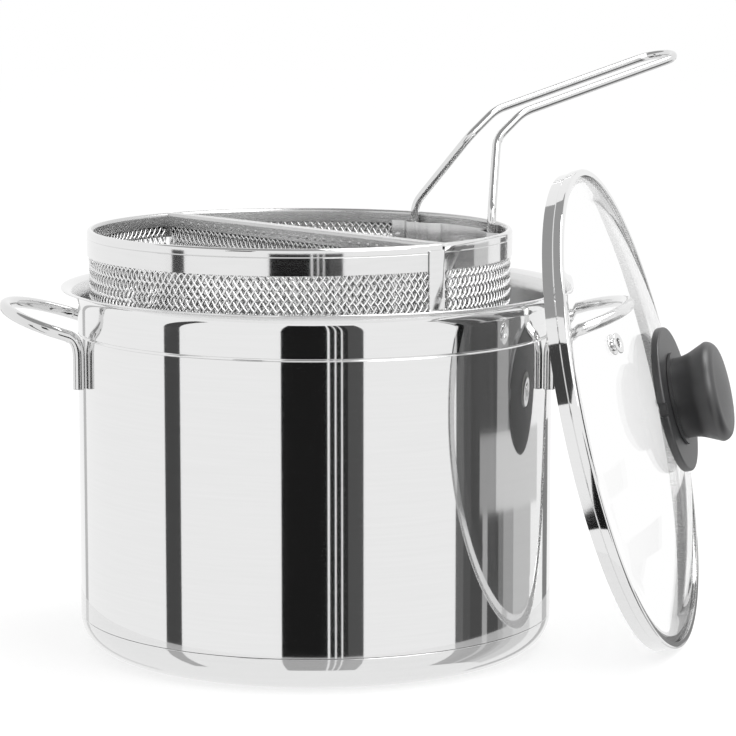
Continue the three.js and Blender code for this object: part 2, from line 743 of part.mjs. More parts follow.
function ventEyelet() {
  const bore = EYELET_BORE / 2;
  const barrel = bore + EYELET_WALL;
  const brim = barrel + EYELET_FLANGE;
  const top = FIT;
  const under = -GLASS_THICKNESS - FIT;
  return turned([
    [bore, under - EYELET_FLANGE_THICKNESS],
    [brim, under - EYELET_FLANGE_THICKNESS],
    [brim, under],
    [barrel, under],
    [barrel, top],
    [brim, top],
    [brim - EYELET_FLANGE / 3, top + EYELET_FLANGE_THICKNESS],
    [bore, top + EYELET_FLANGE_THICKNESS],
  ], SMALL_STEPS).applyMatrix4(ventPlace());
}

// Knob stack above the glass: seal, base disc, knob
const sealLow = domeTop(0) + FIT;
const sealTop = sealLow + SEAL_THICKNESS;
const knobBaseLow = sealTop + FIT;
const knobLow = knobBaseLow + KNOB_BASE_THICKNESS + FIT;

function ring(bore, radius, low, high) {
  return turned([[bore, low], [radius, low], [radius, high], [bore, high]], SMALL_STEPS);
}

// Base disc: keeps fingers off the glass, with a steam notch in its edge
function knobBase() {
  const top = knobBaseLow + KNOB_BASE_THICKNESS;
  const soft = KNOB_BASE_THICKNESS / 4;
  const plain = turned([
    [screwHole, knobBaseLow],
    [KNOB_BASE_RADIUS - soft, knobBaseLow],
    [KNOB_BASE_RADIUS, knobBaseLow + soft],
    [KNOB_BASE_RADIUS, top - soft],
    [KNOB_BASE_RADIUS - soft, top],
    [screwHole, top],
  ], KNOB_STEPS);
  const tool = new THREE.BoxGeometry(KNOB_NOTCH.deep * 2, KNOB_NOTCH.wide, KNOB_BASE_THICKNESS * 3);
  tool.translate(KNOB_BASE_RADIUS, 0, top).rotateZ(Math.PI);
  return cut(plain, [bare(tool)]);
}

// Knob: a waisted grip that flares to a rounded edge, with a blind hole for the screw
function knob() {
  const top = knobLow + KNOB_HEIGHT;
  const widest = top - KNOB_EDGE;
  const waist = new THREE.CubicBezierCurve(
    flat(KNOB_NECK_RADIUS, knobLow),
    flat(KNOB_NECK_RADIUS, knobLow + KNOB_HEIGHT / 2),
    flat(KNOB_RADIUS, knobLow + KNOB_HEIGHT / 2),
    flat(KNOB_RADIUS, widest),
  ).getPoints(ARC_STEPS + 1).map(({ x, y }) => [x, y]);
  return turned([
    [screwHole, knobLow],
    ...waist,
    ...arc(KNOB_RADIUS - KNOB_EDGE, widest, KNOB_EDGE, 0, 90).slice(1),
    [0, top + KNOB_EDGE / 4],
    [0, knobLow + SCREW_BITE + FIT],
    [screwHole, knobLow + SCREW_BITE + FIT],
  ], KNOB_STEPS);
}

const washerTop = domeUnder(WASHER_RADIUS) - FIT;
const headTop = washerTop - WASHER_THICKNESS - FIT;

function knobScrew() {
  const tip = knobLow + SCREW_BITE;
  return turned([
    [0, headTop - SCREW_HEAD_HEIGHT],
    [SCREW_HEAD_FLAT, headTop - SCREW_HEAD_HEIGHT],
    [SCREW_HEAD_RADIUS, headTop - SCREW_HEAD_HEIGHT / 2],
    [SCREW_HEAD_RADIUS, headTop],
    [SCREW_RADIUS, headTop],
    [SCREW_RADIUS, tip],
    [0, tip],
  ], SMALL_STEPS);
}

// The lid stands on the surface and leans until its glass meets the right side handle
function lidPlace() {
  const turn = rad(LID_TURN);
  const lean = rad(LID_LEAN);
  const axis = at(Math.cos(lean) * Math.cos(turn), Math.cos(lean) * Math.sin(turn), Math.sin(lean));
  const level = at(-Math.sin(turn), Math.cos(turn));
  const basis = new THREE.Matrix4().makeBasis(level, axis.clone().cross(level), axis);
  const stand = (lidRadius - LID_STEP) * Math.cos(lean);
  const centre = at(POT_RADIUS + SIDE_REACH, LID_SIDESTEP, stand);
  const path = sidePath();
  for (let round = 0; round < LEAN_ROUNDS; round += 1) {
    const excess = path.map((point) => {
      const away = point.clone().sub(centre);
      const height = away.dot(axis);
      const radius = Math.sqrt(Math.max(0, away.lengthSq() - height ** 2));
      return radius < domeReach ? height + SIDE_WIRE / 2 + LEAN_GAP - domeUnder(radius) : -Infinity;
    });
    centre.x += Math.max(...excess) / axis.x;
  }
  return basis.setPosition(centre);
}

const pot = new THREE.Group();
pot.add(piece('pot_body', potBody(), polishedSteel()));
pot.add(piece('base_core', baseCore(), aluminium()));
pot.add(piece('base_cap', baseCap(), polishedSteel()));
pot.add(piece('right_side_handle', sideHandle(), polishedSteel()));
const leftHandle = piece('left_side_handle', sideHandle(), polishedSteel());
leftHandle.rotation.z = Math.PI;
pot.add(leftHandle);

// Two like halves, turned back to back about the baskets' axis
function halfBasket(name, turn) {
  const half = new THREE.Group();
  half.add(piece(`${name}_rim_band`, rimBand(), polishedSteel()));
  for (let i = 0; i < WALL_PANELS; i += 1) {
    half.add(piece(`${name}_wall_mesh_${i + 1}`, wallPanel(i), wireSteel()));
  }
  half.add(piece(`${name}_divider_mesh`, dividerMesh(), wireSteel()));
  half.add(piece(`${name}_floor_mesh`, floorMesh(), wireSteel()));
  half.add(piece(`${name}_base_hoop`, baseHoop(), polishedSteel()));
  half.add(piece(`${name}_seam_strip`, seamStrip(), polishedSteel()));
  half.add(piece(`${name}_handle_bracket`, handleBracket(), polishedSteel()));
  half.rotation.z = rad(turn);
  return half;
}

const baskets = new THREE.Group();
baskets.position.x = -basketShift;
const rear = halfBasket('rear', SPLIT_ANGLE - 180);
rear.add(piece('lift_handle', liftHandle(), polishedSteel()));
baskets.add(halfBasket('front', SPLIT_ANGLE), rear);

const lid = new THREE.Group();
lid.add(piece('lid_glass', lidGlass(), glass()));
lid.add(piece('lid_band', lidBand(), polishedSteel()));
lid.add(piece('lid_vent_eyelet', ventEyelet(), polishedSteel()));
lid.add(piece('lid_knob_seal', ring(screwHole, SEAL_RADIUS, sealLow, sealTop), silicone()));
lid.add(piece('lid_knob_base', knobBase(), blackPlastic()));
lid.add(piece('lid_knob', knob(), blackPlastic()));
const washer = ring(screwHole, WASHER_RADIUS, washerTop - WASHER_THICKNESS, washerTop);
lid.add(piece('lid_knob_washer', washer, polishedSteel()));
lid.add(piece('lid_knob_screw', knobScrew(), polishedSteel()));
lid.applyMatrix4(lidPlace());

const stockpot = new THREE.Group();
stockpot.add(pot, baskets, lid);

export default stockpot;
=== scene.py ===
import math

import bmesh
import bpy
from mathutils import Matrix, Vector


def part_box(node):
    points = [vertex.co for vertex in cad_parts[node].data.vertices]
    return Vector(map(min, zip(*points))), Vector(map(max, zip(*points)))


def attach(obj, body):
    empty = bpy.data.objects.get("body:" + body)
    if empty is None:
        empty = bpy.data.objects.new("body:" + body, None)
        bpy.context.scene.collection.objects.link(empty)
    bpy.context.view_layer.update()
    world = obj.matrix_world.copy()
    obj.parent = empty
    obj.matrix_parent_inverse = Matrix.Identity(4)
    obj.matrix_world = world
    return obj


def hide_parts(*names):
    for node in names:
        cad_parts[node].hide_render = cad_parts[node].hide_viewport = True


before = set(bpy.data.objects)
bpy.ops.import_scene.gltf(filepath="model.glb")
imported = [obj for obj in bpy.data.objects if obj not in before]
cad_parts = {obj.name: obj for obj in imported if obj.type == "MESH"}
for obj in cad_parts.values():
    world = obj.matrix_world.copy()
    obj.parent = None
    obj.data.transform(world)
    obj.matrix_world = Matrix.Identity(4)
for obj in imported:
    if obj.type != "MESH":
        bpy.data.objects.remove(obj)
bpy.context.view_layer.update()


# Pot body: one deep shell drawn from stainless sheet, polished to a mirror outside and satin inside.
# Its mouth is rolled out into a pouring lip, a level line is pressed in below the lip, and its bottom
# corner is necked in to take the cap of the base.
least_arc_steps = 5
arc_step_degrees = 9
merge_distance = 2e-7
cut_distance = 1e-7
upright = Matrix.Rotation(math.pi / 2, 4, "X")


def everything(bm):
    """All that a bmesh holds, as an operator's geometry."""
    return bm.verts[:] + bm.edges[:] + bm.faces[:]


def flat_outline(start, *moves):
    """Edges of an outline in the XY plane. A move of two numbers is a straight run to that point, and one
    of three is an arc about that centre through that many degrees."""
    outline = bmesh.new()
    tip = outline.verts.new((*start, 0.0))
    for x, y, *turn in moves:
        if turn:
            steps = least_arc_steps + round(abs(turn[0]) / arc_step_degrees)
            swept = bmesh.ops.spin(outline, geom=[tip], cent=(x, y, 0.0), axis=(0.0, 0.0, 1.0),
                                   angle=math.radians(turn[0]), steps=steps)
            tip = swept["geom_last"][0]
        else:
            tip = bmesh.ops.extrude_vert_indiv(outline, verts=[tip])["verts"][0]
            tip.co = (x, y, 0.0)
    return outline


def closed_up(bm):
    """Merges what meets and turns the faces out."""
    bmesh.ops.remove_doubles(bm, verts=bm.verts, dist=merge_distance)
    bmesh.ops.recalc_face_normals(bm, faces=bm.faces)
    return bm


def turned(outline, steps):
    """Turns an outline of radius and height round the Z axis."""
    outline.transform(upright)
    bmesh.ops.spin(outline, geom=outline.verts[:] + outline.edges[:], cent=(0.0, 0.0, 0.0),
                   axis=(0.0, 0.0, 1.0), angle=2 * math.pi, steps=steps, use_merge=True)
    return closed_up(outline)


def as_mesh(name, bm):
    """Writes a finished bmesh to a mesh of its own."""
    mesh = bpy.data.meshes.new(name)
    bm.to_mesh(mesh)
    bm.free()
    return mesh


def add_piece(name, bm, material, body, slot, *nodes, sharp=40.0):
    """Makes a finished bmesh a piece that rides on its body and stands for its CAD nodes. Edges above the
    sharp angle stay crisp."""
    mesh = as_mesh(name, bm)
    mesh.shade_smooth()
    mesh.set_sharp_from_angle(angle=math.radians(sharp))
    mesh.materials.append(material)
    piece = bpy.data.objects.new(name, mesh)
    bpy.context.scene.collection.objects.link(piece)
    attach(piece, body)
    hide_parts(*nodes)
    return piece


def new_material(name):
    """An empty node material, with its nodes, its links and its shader."""
    material = bpy.data.materials.new(name)
    material.use_nodes = True
    nodes = material.node_tree.nodes
    return material, nodes, material.node_tree.links, nodes["Principled BSDF"]


def grained(name, colours, gloss, scale, detail, relief, depth):
    """Finish whose colour, roughness and fine relief all follow one noise, and the shader that shows it."""
    material, nodes, links, shader = new_material(name)
    where = nodes.new("ShaderNodeTexCoord")
    stretch = nodes.new("ShaderNodeMapping")
    stretch.inputs["Scale"].default_value = scale
    grain = nodes.new("ShaderNodeTexNoise")
    grain.inputs["Scale"].default_value = 1.0
    grain.inputs["Detail"].default_value = detail
    tone = nodes.new("ShaderNodeValToRGB")
    for stop, colour in zip(tone.color_ramp.elements, colours):
        stop.color = (*colour, 1.0)
    rough = nodes.new("ShaderNodeMapRange")
    rough.inputs["To Min"].default_value = gloss[0]
    rough.inputs["To Max"].default_value = gloss[1]
    bump = nodes.new("ShaderNodeBump")
    bump.inputs["Strength"].default_value = relief
    bump.inputs["Distance"].default_value = depth
    links.new(where.outputs["Object"], stretch.inputs["Vector"])
    links.new(stretch.outputs["Vector"], grain.inputs["Vector"])
    links.new(grain.outputs["Fac"], tone.inputs["Fac"])
    links.new(tone.outputs["Color"], shader.inputs["Base Color"])
    links.new(grain.outputs["Fac"], rough.inputs["Value"])
    links.new(rough.outputs["Result"], shader.inputs["Roughness"])
    links.new(grain.outputs["Fac"], bump.inputs["Height"])
    links.new(bump.outputs["Normal"], shader.inputs["Normal"])
    return material, shader


def streaked_metal(name, tones, gloss, streaks, depth):
    """Bare metal whose tone and roughness wander along fine polishing streaks."""
    colours = [(tone, tone, tone) for tone in tones]
    material, shader = grained(name, colours, gloss, streaks, detail=5.0, relief=0.5, depth=depth)
    shader.inputs["Metallic"].default_value = 1.0
    return material


mirror_steel = streaked_metal("mirror_steel", (0.79, 0.83), (0.03, 0.06), (25.0, 25.0, 700.0), 1e-6)
satin_steel = streaked_metal("satin_steel", (0.72, 0.8), (0.26, 0.34), (40.0, 40.0, 900.0), 3e-6)
pot_low, pot_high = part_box("pot_body")
_, cap_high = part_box("base_cap")
pot_radius = cap_high.x
cap_top = cap_high.z
pot_wall = 0.0008
pot_steps = 256
lip_reach = 0.008
neck_step = 0.0009
shoulder_rise = 0.0003
shoulder_top = cap_top + shoulder_rise
neck_corner = cap_top - pot_low.z
neck_centre = pot_radius - neck_step - neck_corner
lip_centre = (pot_radius + lip_reach, pot_high.z - pot_wall - lip_reach)
line_drop = 0.0225
line_half = 0.0008
line_depth = 0.0005
line_height = pot_high.z - line_drop
line_radius = (line_half**2 + line_depth**2) / (2 * line_depth)
line_turn = 2 * math.degrees(math.asin(line_half / line_radius))
pot_outline = flat_outline(
    (0.0, pot_low.z),
    (neck_centre, pot_low.z),
    (neck_centre, cap_top, 90),
    (pot_radius, shoulder_top),
    (pot_radius, line_height - line_half),
    (pot_radius - line_depth + line_radius, line_height, -line_turn),
    (pot_radius, lip_centre[1]),
    (*lip_centre, -90),
    (lip_centre[0], pot_high.z - pot_wall / 2, 180),
    (*lip_centre, 90),
    (pot_radius - pot_wall, shoulder_top),
    (neck_centre + neck_corner - pot_wall, cap_top),
    (neck_centre, cap_top, -90),
    (0.0, pot_low.z + pot_wall),
)
pot_shell = turned(pot_outline, pot_steps)
wall_end = 0.0003
for height in (
    shoulder_top + wall_end,
    line_height - line_half - wall_end,
    line_height + line_half + wall_end,
    lip_centre[1] - wall_end,
):
    bmesh.ops.bisect_plane(pot_shell, geom=everything(pot_shell), dist=cut_distance,
                           plane_co=(0.0, 0.0, height), plane_no=(0.0, 0.0, 1.0))
pot_middle = Vector((0.0, 0.0, pot_high.z / 2))
for face in pot_shell.faces:
    face.material_index = int(face.normal.dot(face.calc_center_median() - pot_middle) < 0)
pot_piece = add_piece("pot_shell", pot_shell, mirror_steel, "pot", "polished_steel", "pot_body")
pot_piece.data.materials.append(satin_steel)


# Base core: a thick aluminium disc that spreads the heat, closed in between the pot and the cap.
# It is blanked from plate, so it keeps its plain solid and shows a dull rolled finish.
rolled_aluminium = streaked_metal("rolled_aluminium", (0.5, 0.6), (0.35, 0.5), (300.0, 20.0, 20.0), 5e-6)
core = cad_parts["base_core"]
core.data.materials.clear()
core.data.materials.append(rolled_aluminium)


# Base cap: a steel cup pressed over the core and round the pot's bottom corner, flush with the wall
# above it, so that a thin line shows where its edge ends.
cap_wall = 0.0006
cap_upright = 0.0005
cap_corner = cap_top - cap_upright
cap_centre = pot_radius - cap_corner
cap_outline = flat_outline(
    (0.0, 0.0),
    (cap_centre, 0.0),
    (cap_centre, cap_corner, 90),
    (pot_radius, cap_top - cap_wall / 2),
    (pot_radius - cap_wall / 2, cap_top - cap_wall / 2, 180),
    (pot_radius - cap_wall, cap_corner),
    (cap_centre, cap_corner, -90),
    (0.0, cap_wall),
)
add_piece("base_cup", turned(cap_outline, pot_steps), mirror_steel, "pot", "polished_steel", "base_cap")


# Side handles: round stainless wire bent to a bowed loop. Each ends in two legs that lie down the
# pot's wall and are welded to it.
bend_pull = 2 / 3
wire_end_angle = 1.2


def wire_bends(corners, bend):
    """Bezier knots (handle before, point, handle after) along straight runs whose corners are rounded."""
    knots = [(corners[0],) * 3]
    for before, corner, after in zip(corners, corners[1:], corners[2:]):
        start, end = (
            corner + (other - corner).normalized() * min(bend, (other - corner).length / 2)
            for other in (before, after)
        )
        knots.append((start, start, start.lerp(corner, bend_pull)))
        knots.append((end.lerp(corner, bend_pull), end, end))
    knots.append((corners[-1],) * 3)
    return knots


def bent_wire(knots, radius):
    """Round wire through Bezier knots, with both cut ends closed and softened."""
    curve = bpy.data.curves.new("wire", "CURVE")
    curve.dimensions = "3D"
    curve.bevel_depth = radius
    curve.bevel_resolution = 8
    curve.resolution_u = 12
    curve.use_fill_caps = True
    spline = curve.splines.new("BEZIER")
    spline.bezier_points.add(len(knots) - 1)
    for point, (before, place, after) in zip(spline.bezier_points, knots):
        point.handle_left_type = "FREE"
        point.handle_right_type = "FREE"
        point.co = place
        point.handle_left = before
        point.handle_right = after
    drawn = bpy.data.objects.new("wire", curve)
    mesh = bpy.data.meshes.new_from_object(drawn)
    wire = bmesh.new()
    wire.from_mesh(mesh)
    bpy.data.objects.remove(drawn)
    bpy.data.curves.remove(curve)
    bpy.data.meshes.remove(mesh)
    closed_up(wire)
    ends = [edge for edge in wire.edges if edge.calc_face_angle(0.0) > wire_end_angle]
    bmesh.ops.bevel(wire, geom=ends, offset=radius / 6, affect="EDGES", segments=2, profile=0.5, material=-1)
    return wire


wire_steel = streaked_metal("wire_steel", (0.7, 0.77), (0.05, 0.1), (60.0, 60.0, 60.0), 2e-6)
contact_gap = 0.0003
side_radius = 0.003
side_half_span = 0.04
side_reach = 0.037
side_straight = 0.010
side_tilt = math.radians(17.5)
side_bend = 0.009
side_leg = 0.025
side_drop = 0.023
side_knee_height = pot_high.z - side_drop
side_root = math.sqrt((pot_radius + contact_gap + side_radius) ** 2 - side_half_span**2)
side_tip = (pot_radius + side_reach - side_root) / math.cos(side_tilt)
round_handle = 0.5523


def side_point(out, across):
    """Point on the sloping loop of the right handle, so far out from its knees and across from its middle."""
    level = side_root + out * math.cos(side_tilt)
    return Vector((level, across, side_knee_height + out * math.sin(side_tilt)))


def side_leg_knots(across):
    """Knots from a leg's foot up to where the loop's bow starts."""
    foot = Vector((side_root, across, side_knee_height - side_leg))
    knee = Vector((side_root, across, side_knee_height))
    return wire_bends([foot, knee, side_point(side_straight, across)], side_bend)


bow_out = side_straight + round_handle * (side_tip - side_straight)
bow_across = round_handle * side_half_span
near_leg = side_leg_knots(-side_half_span)
far_leg = [knot[::-1] for knot in side_leg_knots(side_half_span)[::-1]]
bow_start = near_leg.pop()[1]
bow_end = far_leg.pop(0)[1]
side_knots = [
    *near_leg,
    (bow_start, bow_start, side_point(bow_out, -side_half_span)),
    (side_point(side_tip, -bow_across), side_point(side_tip, 0.0), side_point(side_tip, bow_across)),
    (side_point(bow_out, side_half_span), bow_end, bow_end),
    *far_leg,
]
for side, turn in (("right", 0.0), ("left", math.pi)):
    loop = bent_wire(side_knots, side_radius)
    loop.transform(Matrix.Rotation(turn, 4, "Z"))
    add_piece(f"{side}_loop", loop, wire_steel, "pot", "handle_wire", f"{side}_side_handle")


# Rim bands: a strip of stainless sheet folded over the top of each half basket's mesh and run right round
# it, deeper outside than inside, with a fine rolled line below its top and spot welds along the divider.
# It is polished outside and left dull inside, and its inside faces are painted darker as shade.
half_steps = 120
soft_angle = 0.9


def half_loop(bm, inset, height):
    """Edges round a half basket's plan, drawn in by an inset: a half turn and the straight divider."""
    radius = basket_radius - inset
    corner = math.asin((split_gap / 2 + inset) / radius)
    start = bm.verts.new((radius * math.cos(corner), radius * math.sin(corner), height))
    before = set(bm.edges)
    swept = bmesh.ops.spin(bm, geom=[start], cent=(0.0, 0.0, height), axis=(0.0, 0.0, 1.0),
                           angle=math.pi - 2 * corner, steps=half_steps)
    bm.edges.new((swept["geom_last"][0], start))
    return [edge for edge in bm.edges if edge not in before]


def sheet_strip(section):
    """Sheet that follows a half basket's plan, from the outline of its section in inset and height. Its
    loops are bridged as a tall stack, and then each is let down to its own height."""
    bm = bmesh.new()
    points = [point.co.copy() for point in section.verts]
    section.free()
    loops = [half_loop(bm, point.x, float(level)) for level, point in enumerate(points)]
    for one, other in zip(loops, loops[1:] + loops[:1]):
        bmesh.ops.bridge_loops(bm, edges=one + other)
    for vert in bm.verts:
        vert.co.z = points[round(vert.co.z)].y
    return closed_up(bm)


def soften(bm, offset):
    """Rounds the sharp edges of a sheet."""
    sharp = [edge for edge in bm.edges if edge.calc_face_angle(0.0) > soft_angle]
    bmesh.ops.bevel(bm, geom=sharp, offset=offset, offset_type="OFFSET", affect="EDGES", segments=2,
                    profile=0.5, material=-1, clamp_overlap=True)


front_rim_low, front_rim_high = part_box("front_rim_band")
_, rear_rim_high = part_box("rear_rim_band")
basket_centre = Vector(((front_rim_low.x + rear_rim_high.x) / 2, 0.0, 0.0))
basket_radius = 0.1074
basket_top = front_rim_high.z
split_gap = 0.0015
sheet = 0.0006
rim_thickness = 0.0035
rim_inside = 0.007
rim_line_drop = 0.0042
rim_line = 0.0003
rim_roll = rim_thickness / 2
middle_share = 0.4
rim_middle = Vector((0.0, middle_share * basket_radius))
rim_bottom = front_rim_low.z
line_low = basket_top - rim_line_drop - rim_line
inward_share = 0.3
weld_radius = 0.001
weld_pitch = 0.0067
weld_flatness = 0.25
welded_share = 0.92
split_turn = 131.0
halves = {
    name: Matrix.Translation(basket_centre) @ Matrix.Rotation(math.radians(turn), 4, "Z")
    for name, turn in (("front", split_turn), ("rear", split_turn - 180.0))
}
band_steel = streaked_metal("band_steel", (0.76, 0.82), (0.05, 0.1), (40.0, 40.0, 500.0), 2e-6)
# Dull steel for faces that look inward: rougher than band steel, and painted darker as shade.
shaded_dull_steel = streaked_metal("shaded_dull_steel", (0.56, 0.64), (0.24, 0.3), (40.0, 40.0, 900.0), 5e-7)


def weld_spots(bm, first, step, count, radius, turn):
    """Row of shallow domes that a spot welder leaves, each half sunk in a sheet that lies across Y before
    its turn."""
    spot = bmesh.ops.create_uvsphere(bm, u_segments=10, v_segments=6, radius=radius)["verts"]
    bmesh.ops.scale(bm, verts=spot, vec=(1.0, weld_flatness, 1.0))
    bmesh.ops.rotate(bm, verts=spot, cent=(0.0, 0.0, 0.0), matrix=Matrix.Rotation(turn, 3, "Z"))
    bmesh.ops.translate(bm, verts=spot, vec=first)
    faces = list({face for vert in spot for face in vert.link_faces})
    edges = list({edge for vert in spot for edge in vert.link_edges})
    bmesh.ops.spin(bm, geom=spot + edges + faces, cent=(0.0, 0.0, 0.0), axis=(0.0, 0.0, 1.0), angle=0.0,
                   dvec=step, steps=count - 1, use_duplicate=True)


for half, place in halves.items():
    section = flat_outline(
        (0.0, rim_bottom),
        (0.0, line_low),
        (rim_line, line_low + rim_line),
        (0.0, line_low + 2 * rim_line),
        (0.0, basket_top - rim_roll),
        (rim_roll, basket_top - rim_roll, -180),
        (rim_thickness, basket_top - rim_inside),
        (rim_thickness - sheet, basket_top - rim_inside),
        (rim_thickness - sheet, basket_top - rim_roll),
        (rim_roll, basket_top - rim_roll, 180),
        (sheet, rim_bottom),
    )
    rim = sheet_strip(section)
    weld_face = split_gap / 2 + rim_thickness
    weld_count = 2 * int(welded_share * basket_radius / weld_pitch)
    weld_level = basket_top - rim_inside / 2 - rim_roll / 2
    weld_start = Vector((-(weld_count - 1) * weld_pitch / 2, weld_face, weld_level))
    weld_spots(rim, weld_start, (weld_pitch, 0.0, 0.0), weld_count, weld_radius, 0.0)
    # Faces that look in towards the basket's middle take the dull steel, painted darker as shade.
    for face in rim.faces:
        inwards = rim_middle - face.calc_center_median().xy
        face.material_index = int(face.normal.xy.dot(inwards.normalized()) > inward_share)
    rim.transform(place)
    rim_piece = add_piece(f"{half}_folded_rim", rim, band_steel, f"{half}_basket", "basket_sheet",
                          f"{half}_rim_band")
    rim_piece.data.materials.append(shaded_dull_steel)


# Base hoops: each half's bottom edge, pressed from stainless sheet with an upright wall that holds the
# cloth's lower edge, a rounded corner and a flange that carries the floor.
hoop_low, hoop_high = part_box("front_base_hoop")
hoop_corner = 0.010
hoop_flange = 0.008
corner_height = hoop_low.z + hoop_corner
for half, place in halves.items():
    section = flat_outline(
        (0.0, hoop_high.z),
        (0.0, corner_height),
        (hoop_corner, corner_height, 90),
        (hoop_corner + hoop_flange, hoop_low.z),
        (hoop_corner + hoop_flange, hoop_low.z + sheet),
        (hoop_corner, hoop_low.z + sheet),
        (hoop_corner, corner_height, -90),
        (sheet, hoop_high.z),
    )
    hoop = sheet_strip(section)
    hoop.transform(place)
    add_piece(f"{half}_pressed_hoop", hoop, band_steel, f"{half}_basket", "basket_sheet", f"{half}_base_hoop")


# Wire cloth: plain-woven stainless wire cut on the bias. One piece bends round each half's wall, one
# stands flat along the split and one lies on the hoop's flange, with every edge under sheet.
def verts_of(geom):
    """The vertices among what an operator made."""
    return [item for item in geom if isinstance(item, bmesh.types.BMVert)]


def woven_cloth(wide, high):
    """Woven wires on the bias, enough to cover a rectangle about the origin, drawn so that each cell is
    taller than wide. The wires' ends are open."""
    reach = (wide + high / cloth_stretch) / math.sqrt(8)
    count = 2 * math.ceil(reach / cloth_pitch)
    half = count // 2 * cloth_pitch
    cloth = bmesh.new()
    across = Matrix.Rotation(math.pi / 2, 4, "Y")
    bmesh.ops.create_circle(cloth, segments=wire_sides, radius=cloth_wire, matrix=across)
    bmesh.ops.spin(cloth, geom=cloth.verts[:] + cloth.edges[:], cent=(0.0, 0.0, 0.0), axis=(0.0, 0.0, 1.0),
                   angle=0.0, dvec=(cloth_pitch, 0.0, 0.0), steps=count)
    bmesh.ops.spin(cloth, geom=everything(cloth), cent=(0.0, 0.0, 0.0), axis=(0.0, 0.0, 1.0), angle=0.0,
                   dvec=(0.0, cloth_pitch, 0.0), steps=count, use_duplicate=True)
    bmesh.ops.translate(cloth, verts=cloth.verts, vec=(-half, -half, 0.0))
    for vert in cloth.verts:
        crossing = round(vert.co.x / cloth_pitch) + round(vert.co.y / cloth_pitch)
        vert.co.z += cloth_wave if crossing % 2 else -cloth_wave
    weft = bmesh.ops.duplicate(cloth, geom=everything(cloth))["geom"]
    swap = Matrix.Rotation(math.pi, 3, (1.0, 1.0, 0.0))
    bmesh.ops.rotate(cloth, verts=verts_of(weft), cent=(0.0, 0.0, 0.0), matrix=swap)
    bias = Matrix.Rotation(math.pi / 4, 3, "Z")
    bmesh.ops.rotate(cloth, verts=cloth.verts, cent=(0.0, 0.0, 0.0), matrix=bias)
    bmesh.ops.scale(cloth, verts=cloth.verts, vec=(1.0, cloth_stretch, 1.0))
    return cloth


def trim(cloth, edges):
    """Cuts cloth back to inside each edge, given as a point and the way out, and closes the cut wires."""
    for point, out in edges:
        bmesh.ops.bisect_plane(cloth, geom=everything(cloth), dist=cut_distance, plane_co=point,
                               plane_no=out, clear_outer=True)
        open_ends = [edge for edge in cloth.edges if edge.is_boundary]
        bmesh.ops.holes_fill(cloth, edges=open_ends, sides=0)
    bmesh.ops.recalc_face_normals(cloth, faces=cloth.faces)
    return cloth


def rectangle(wide, high):
    """The four edges of a rectangle about the middle of a cloth."""
    return [
        ((side * wide / 2, 0.0, 0.0), (side, 0.0, 0.0)) for side in (1.0, -1.0)
    ] + [
        ((0.0, side * high / 2, 0.0), (0.0, side, 0.0)) for side in (1.0, -1.0)
    ]


cloth_pitch = 0.00255
cloth_stretch = 1.47
cloth_wire = 0.00052
cloth_wave = 0.00038
wire_sides = 6
wire_crease = 80.0
cloth_steel = streaked_metal("cloth_steel", (0.86, 0.94), (0.14, 0.22), (400.0, 400.0, 400.0), 4e-6)
hoop_lap = 0.004
rim_clear = 0.002
wall_clear = 0.0016
divider_clear = 0.0022
floor_clear = 0.0012
floor_sides = 24
cloth_low = hoop_high.z - hoop_lap
cloth_high = basket_top - rim_clear
cloth_height = cloth_high - cloth_low
cloth_middle = (cloth_high + cloth_low) / 2
cloth_inset = rim_thickness / 2
wall_radius = basket_radius - cloth_inset
divider_plane = split_gap / 2 + cloth_inset
wall_start = math.asin((divider_plane + wall_clear) / wall_radius)
wall_length = wall_radius * (math.pi - 2 * wall_start)
divider_length = 2 * (wall_radius - divider_clear)

round_wall = trim(woven_cloth(wall_length, cloth_height), rectangle(wall_length, cloth_height))
for vert in round_wall.verts:
    angle = math.pi / 2 + vert.co.x / wall_radius
    radius = wall_radius + vert.co.z
    vert.co = (radius * math.cos(angle), radius * math.sin(angle), vert.co.y + cloth_middle)

divider = trim(woven_cloth(divider_length, cloth_height), rectangle(divider_length, cloth_height))
divider.transform(Matrix.Translation((0.0, divider_plane, cloth_middle)) @ upright)

floor_inset = hoop_corner + floor_clear
floor_radius = basket_radius - floor_inset
floor_height = hoop_low.z + sheet + floor_clear
floor_edges = [((0.0, split_gap / 2 + floor_inset, 0.0), (0.0, -1.0, 0.0))]
for side in range(floor_sides):
    angle = math.pi * (side + 0.5) / floor_sides
    way = Vector((math.cos(angle), math.sin(angle), 0.0))
    floor_edges.append((way * floor_radius, way))
basket_floor = trim(woven_cloth(2 * floor_radius, 2 * floor_radius), floor_edges)
basket_floor.transform(Matrix.Translation((0.0, 0.0, floor_height)))

for half, place in halves.items():
    wall_nodes = [f"{half}_wall_mesh_{panel}" for panel in range(1, 7)]
    for cloth, name, nodes in (
        (round_wall, "woven_wall", wall_nodes),
        (divider, "woven_divider", [f"{half}_divider_mesh"]),
        (basket_floor, "woven_floor", [f"{half}_floor_mesh"]),
    ):
        copy = cloth.copy()
        copy.transform(place)
        add_piece(f"{half}_{name}", copy, cloth_steel, f"{half}_basket", "mesh_wire", *nodes,
                  sharp=wire_crease)


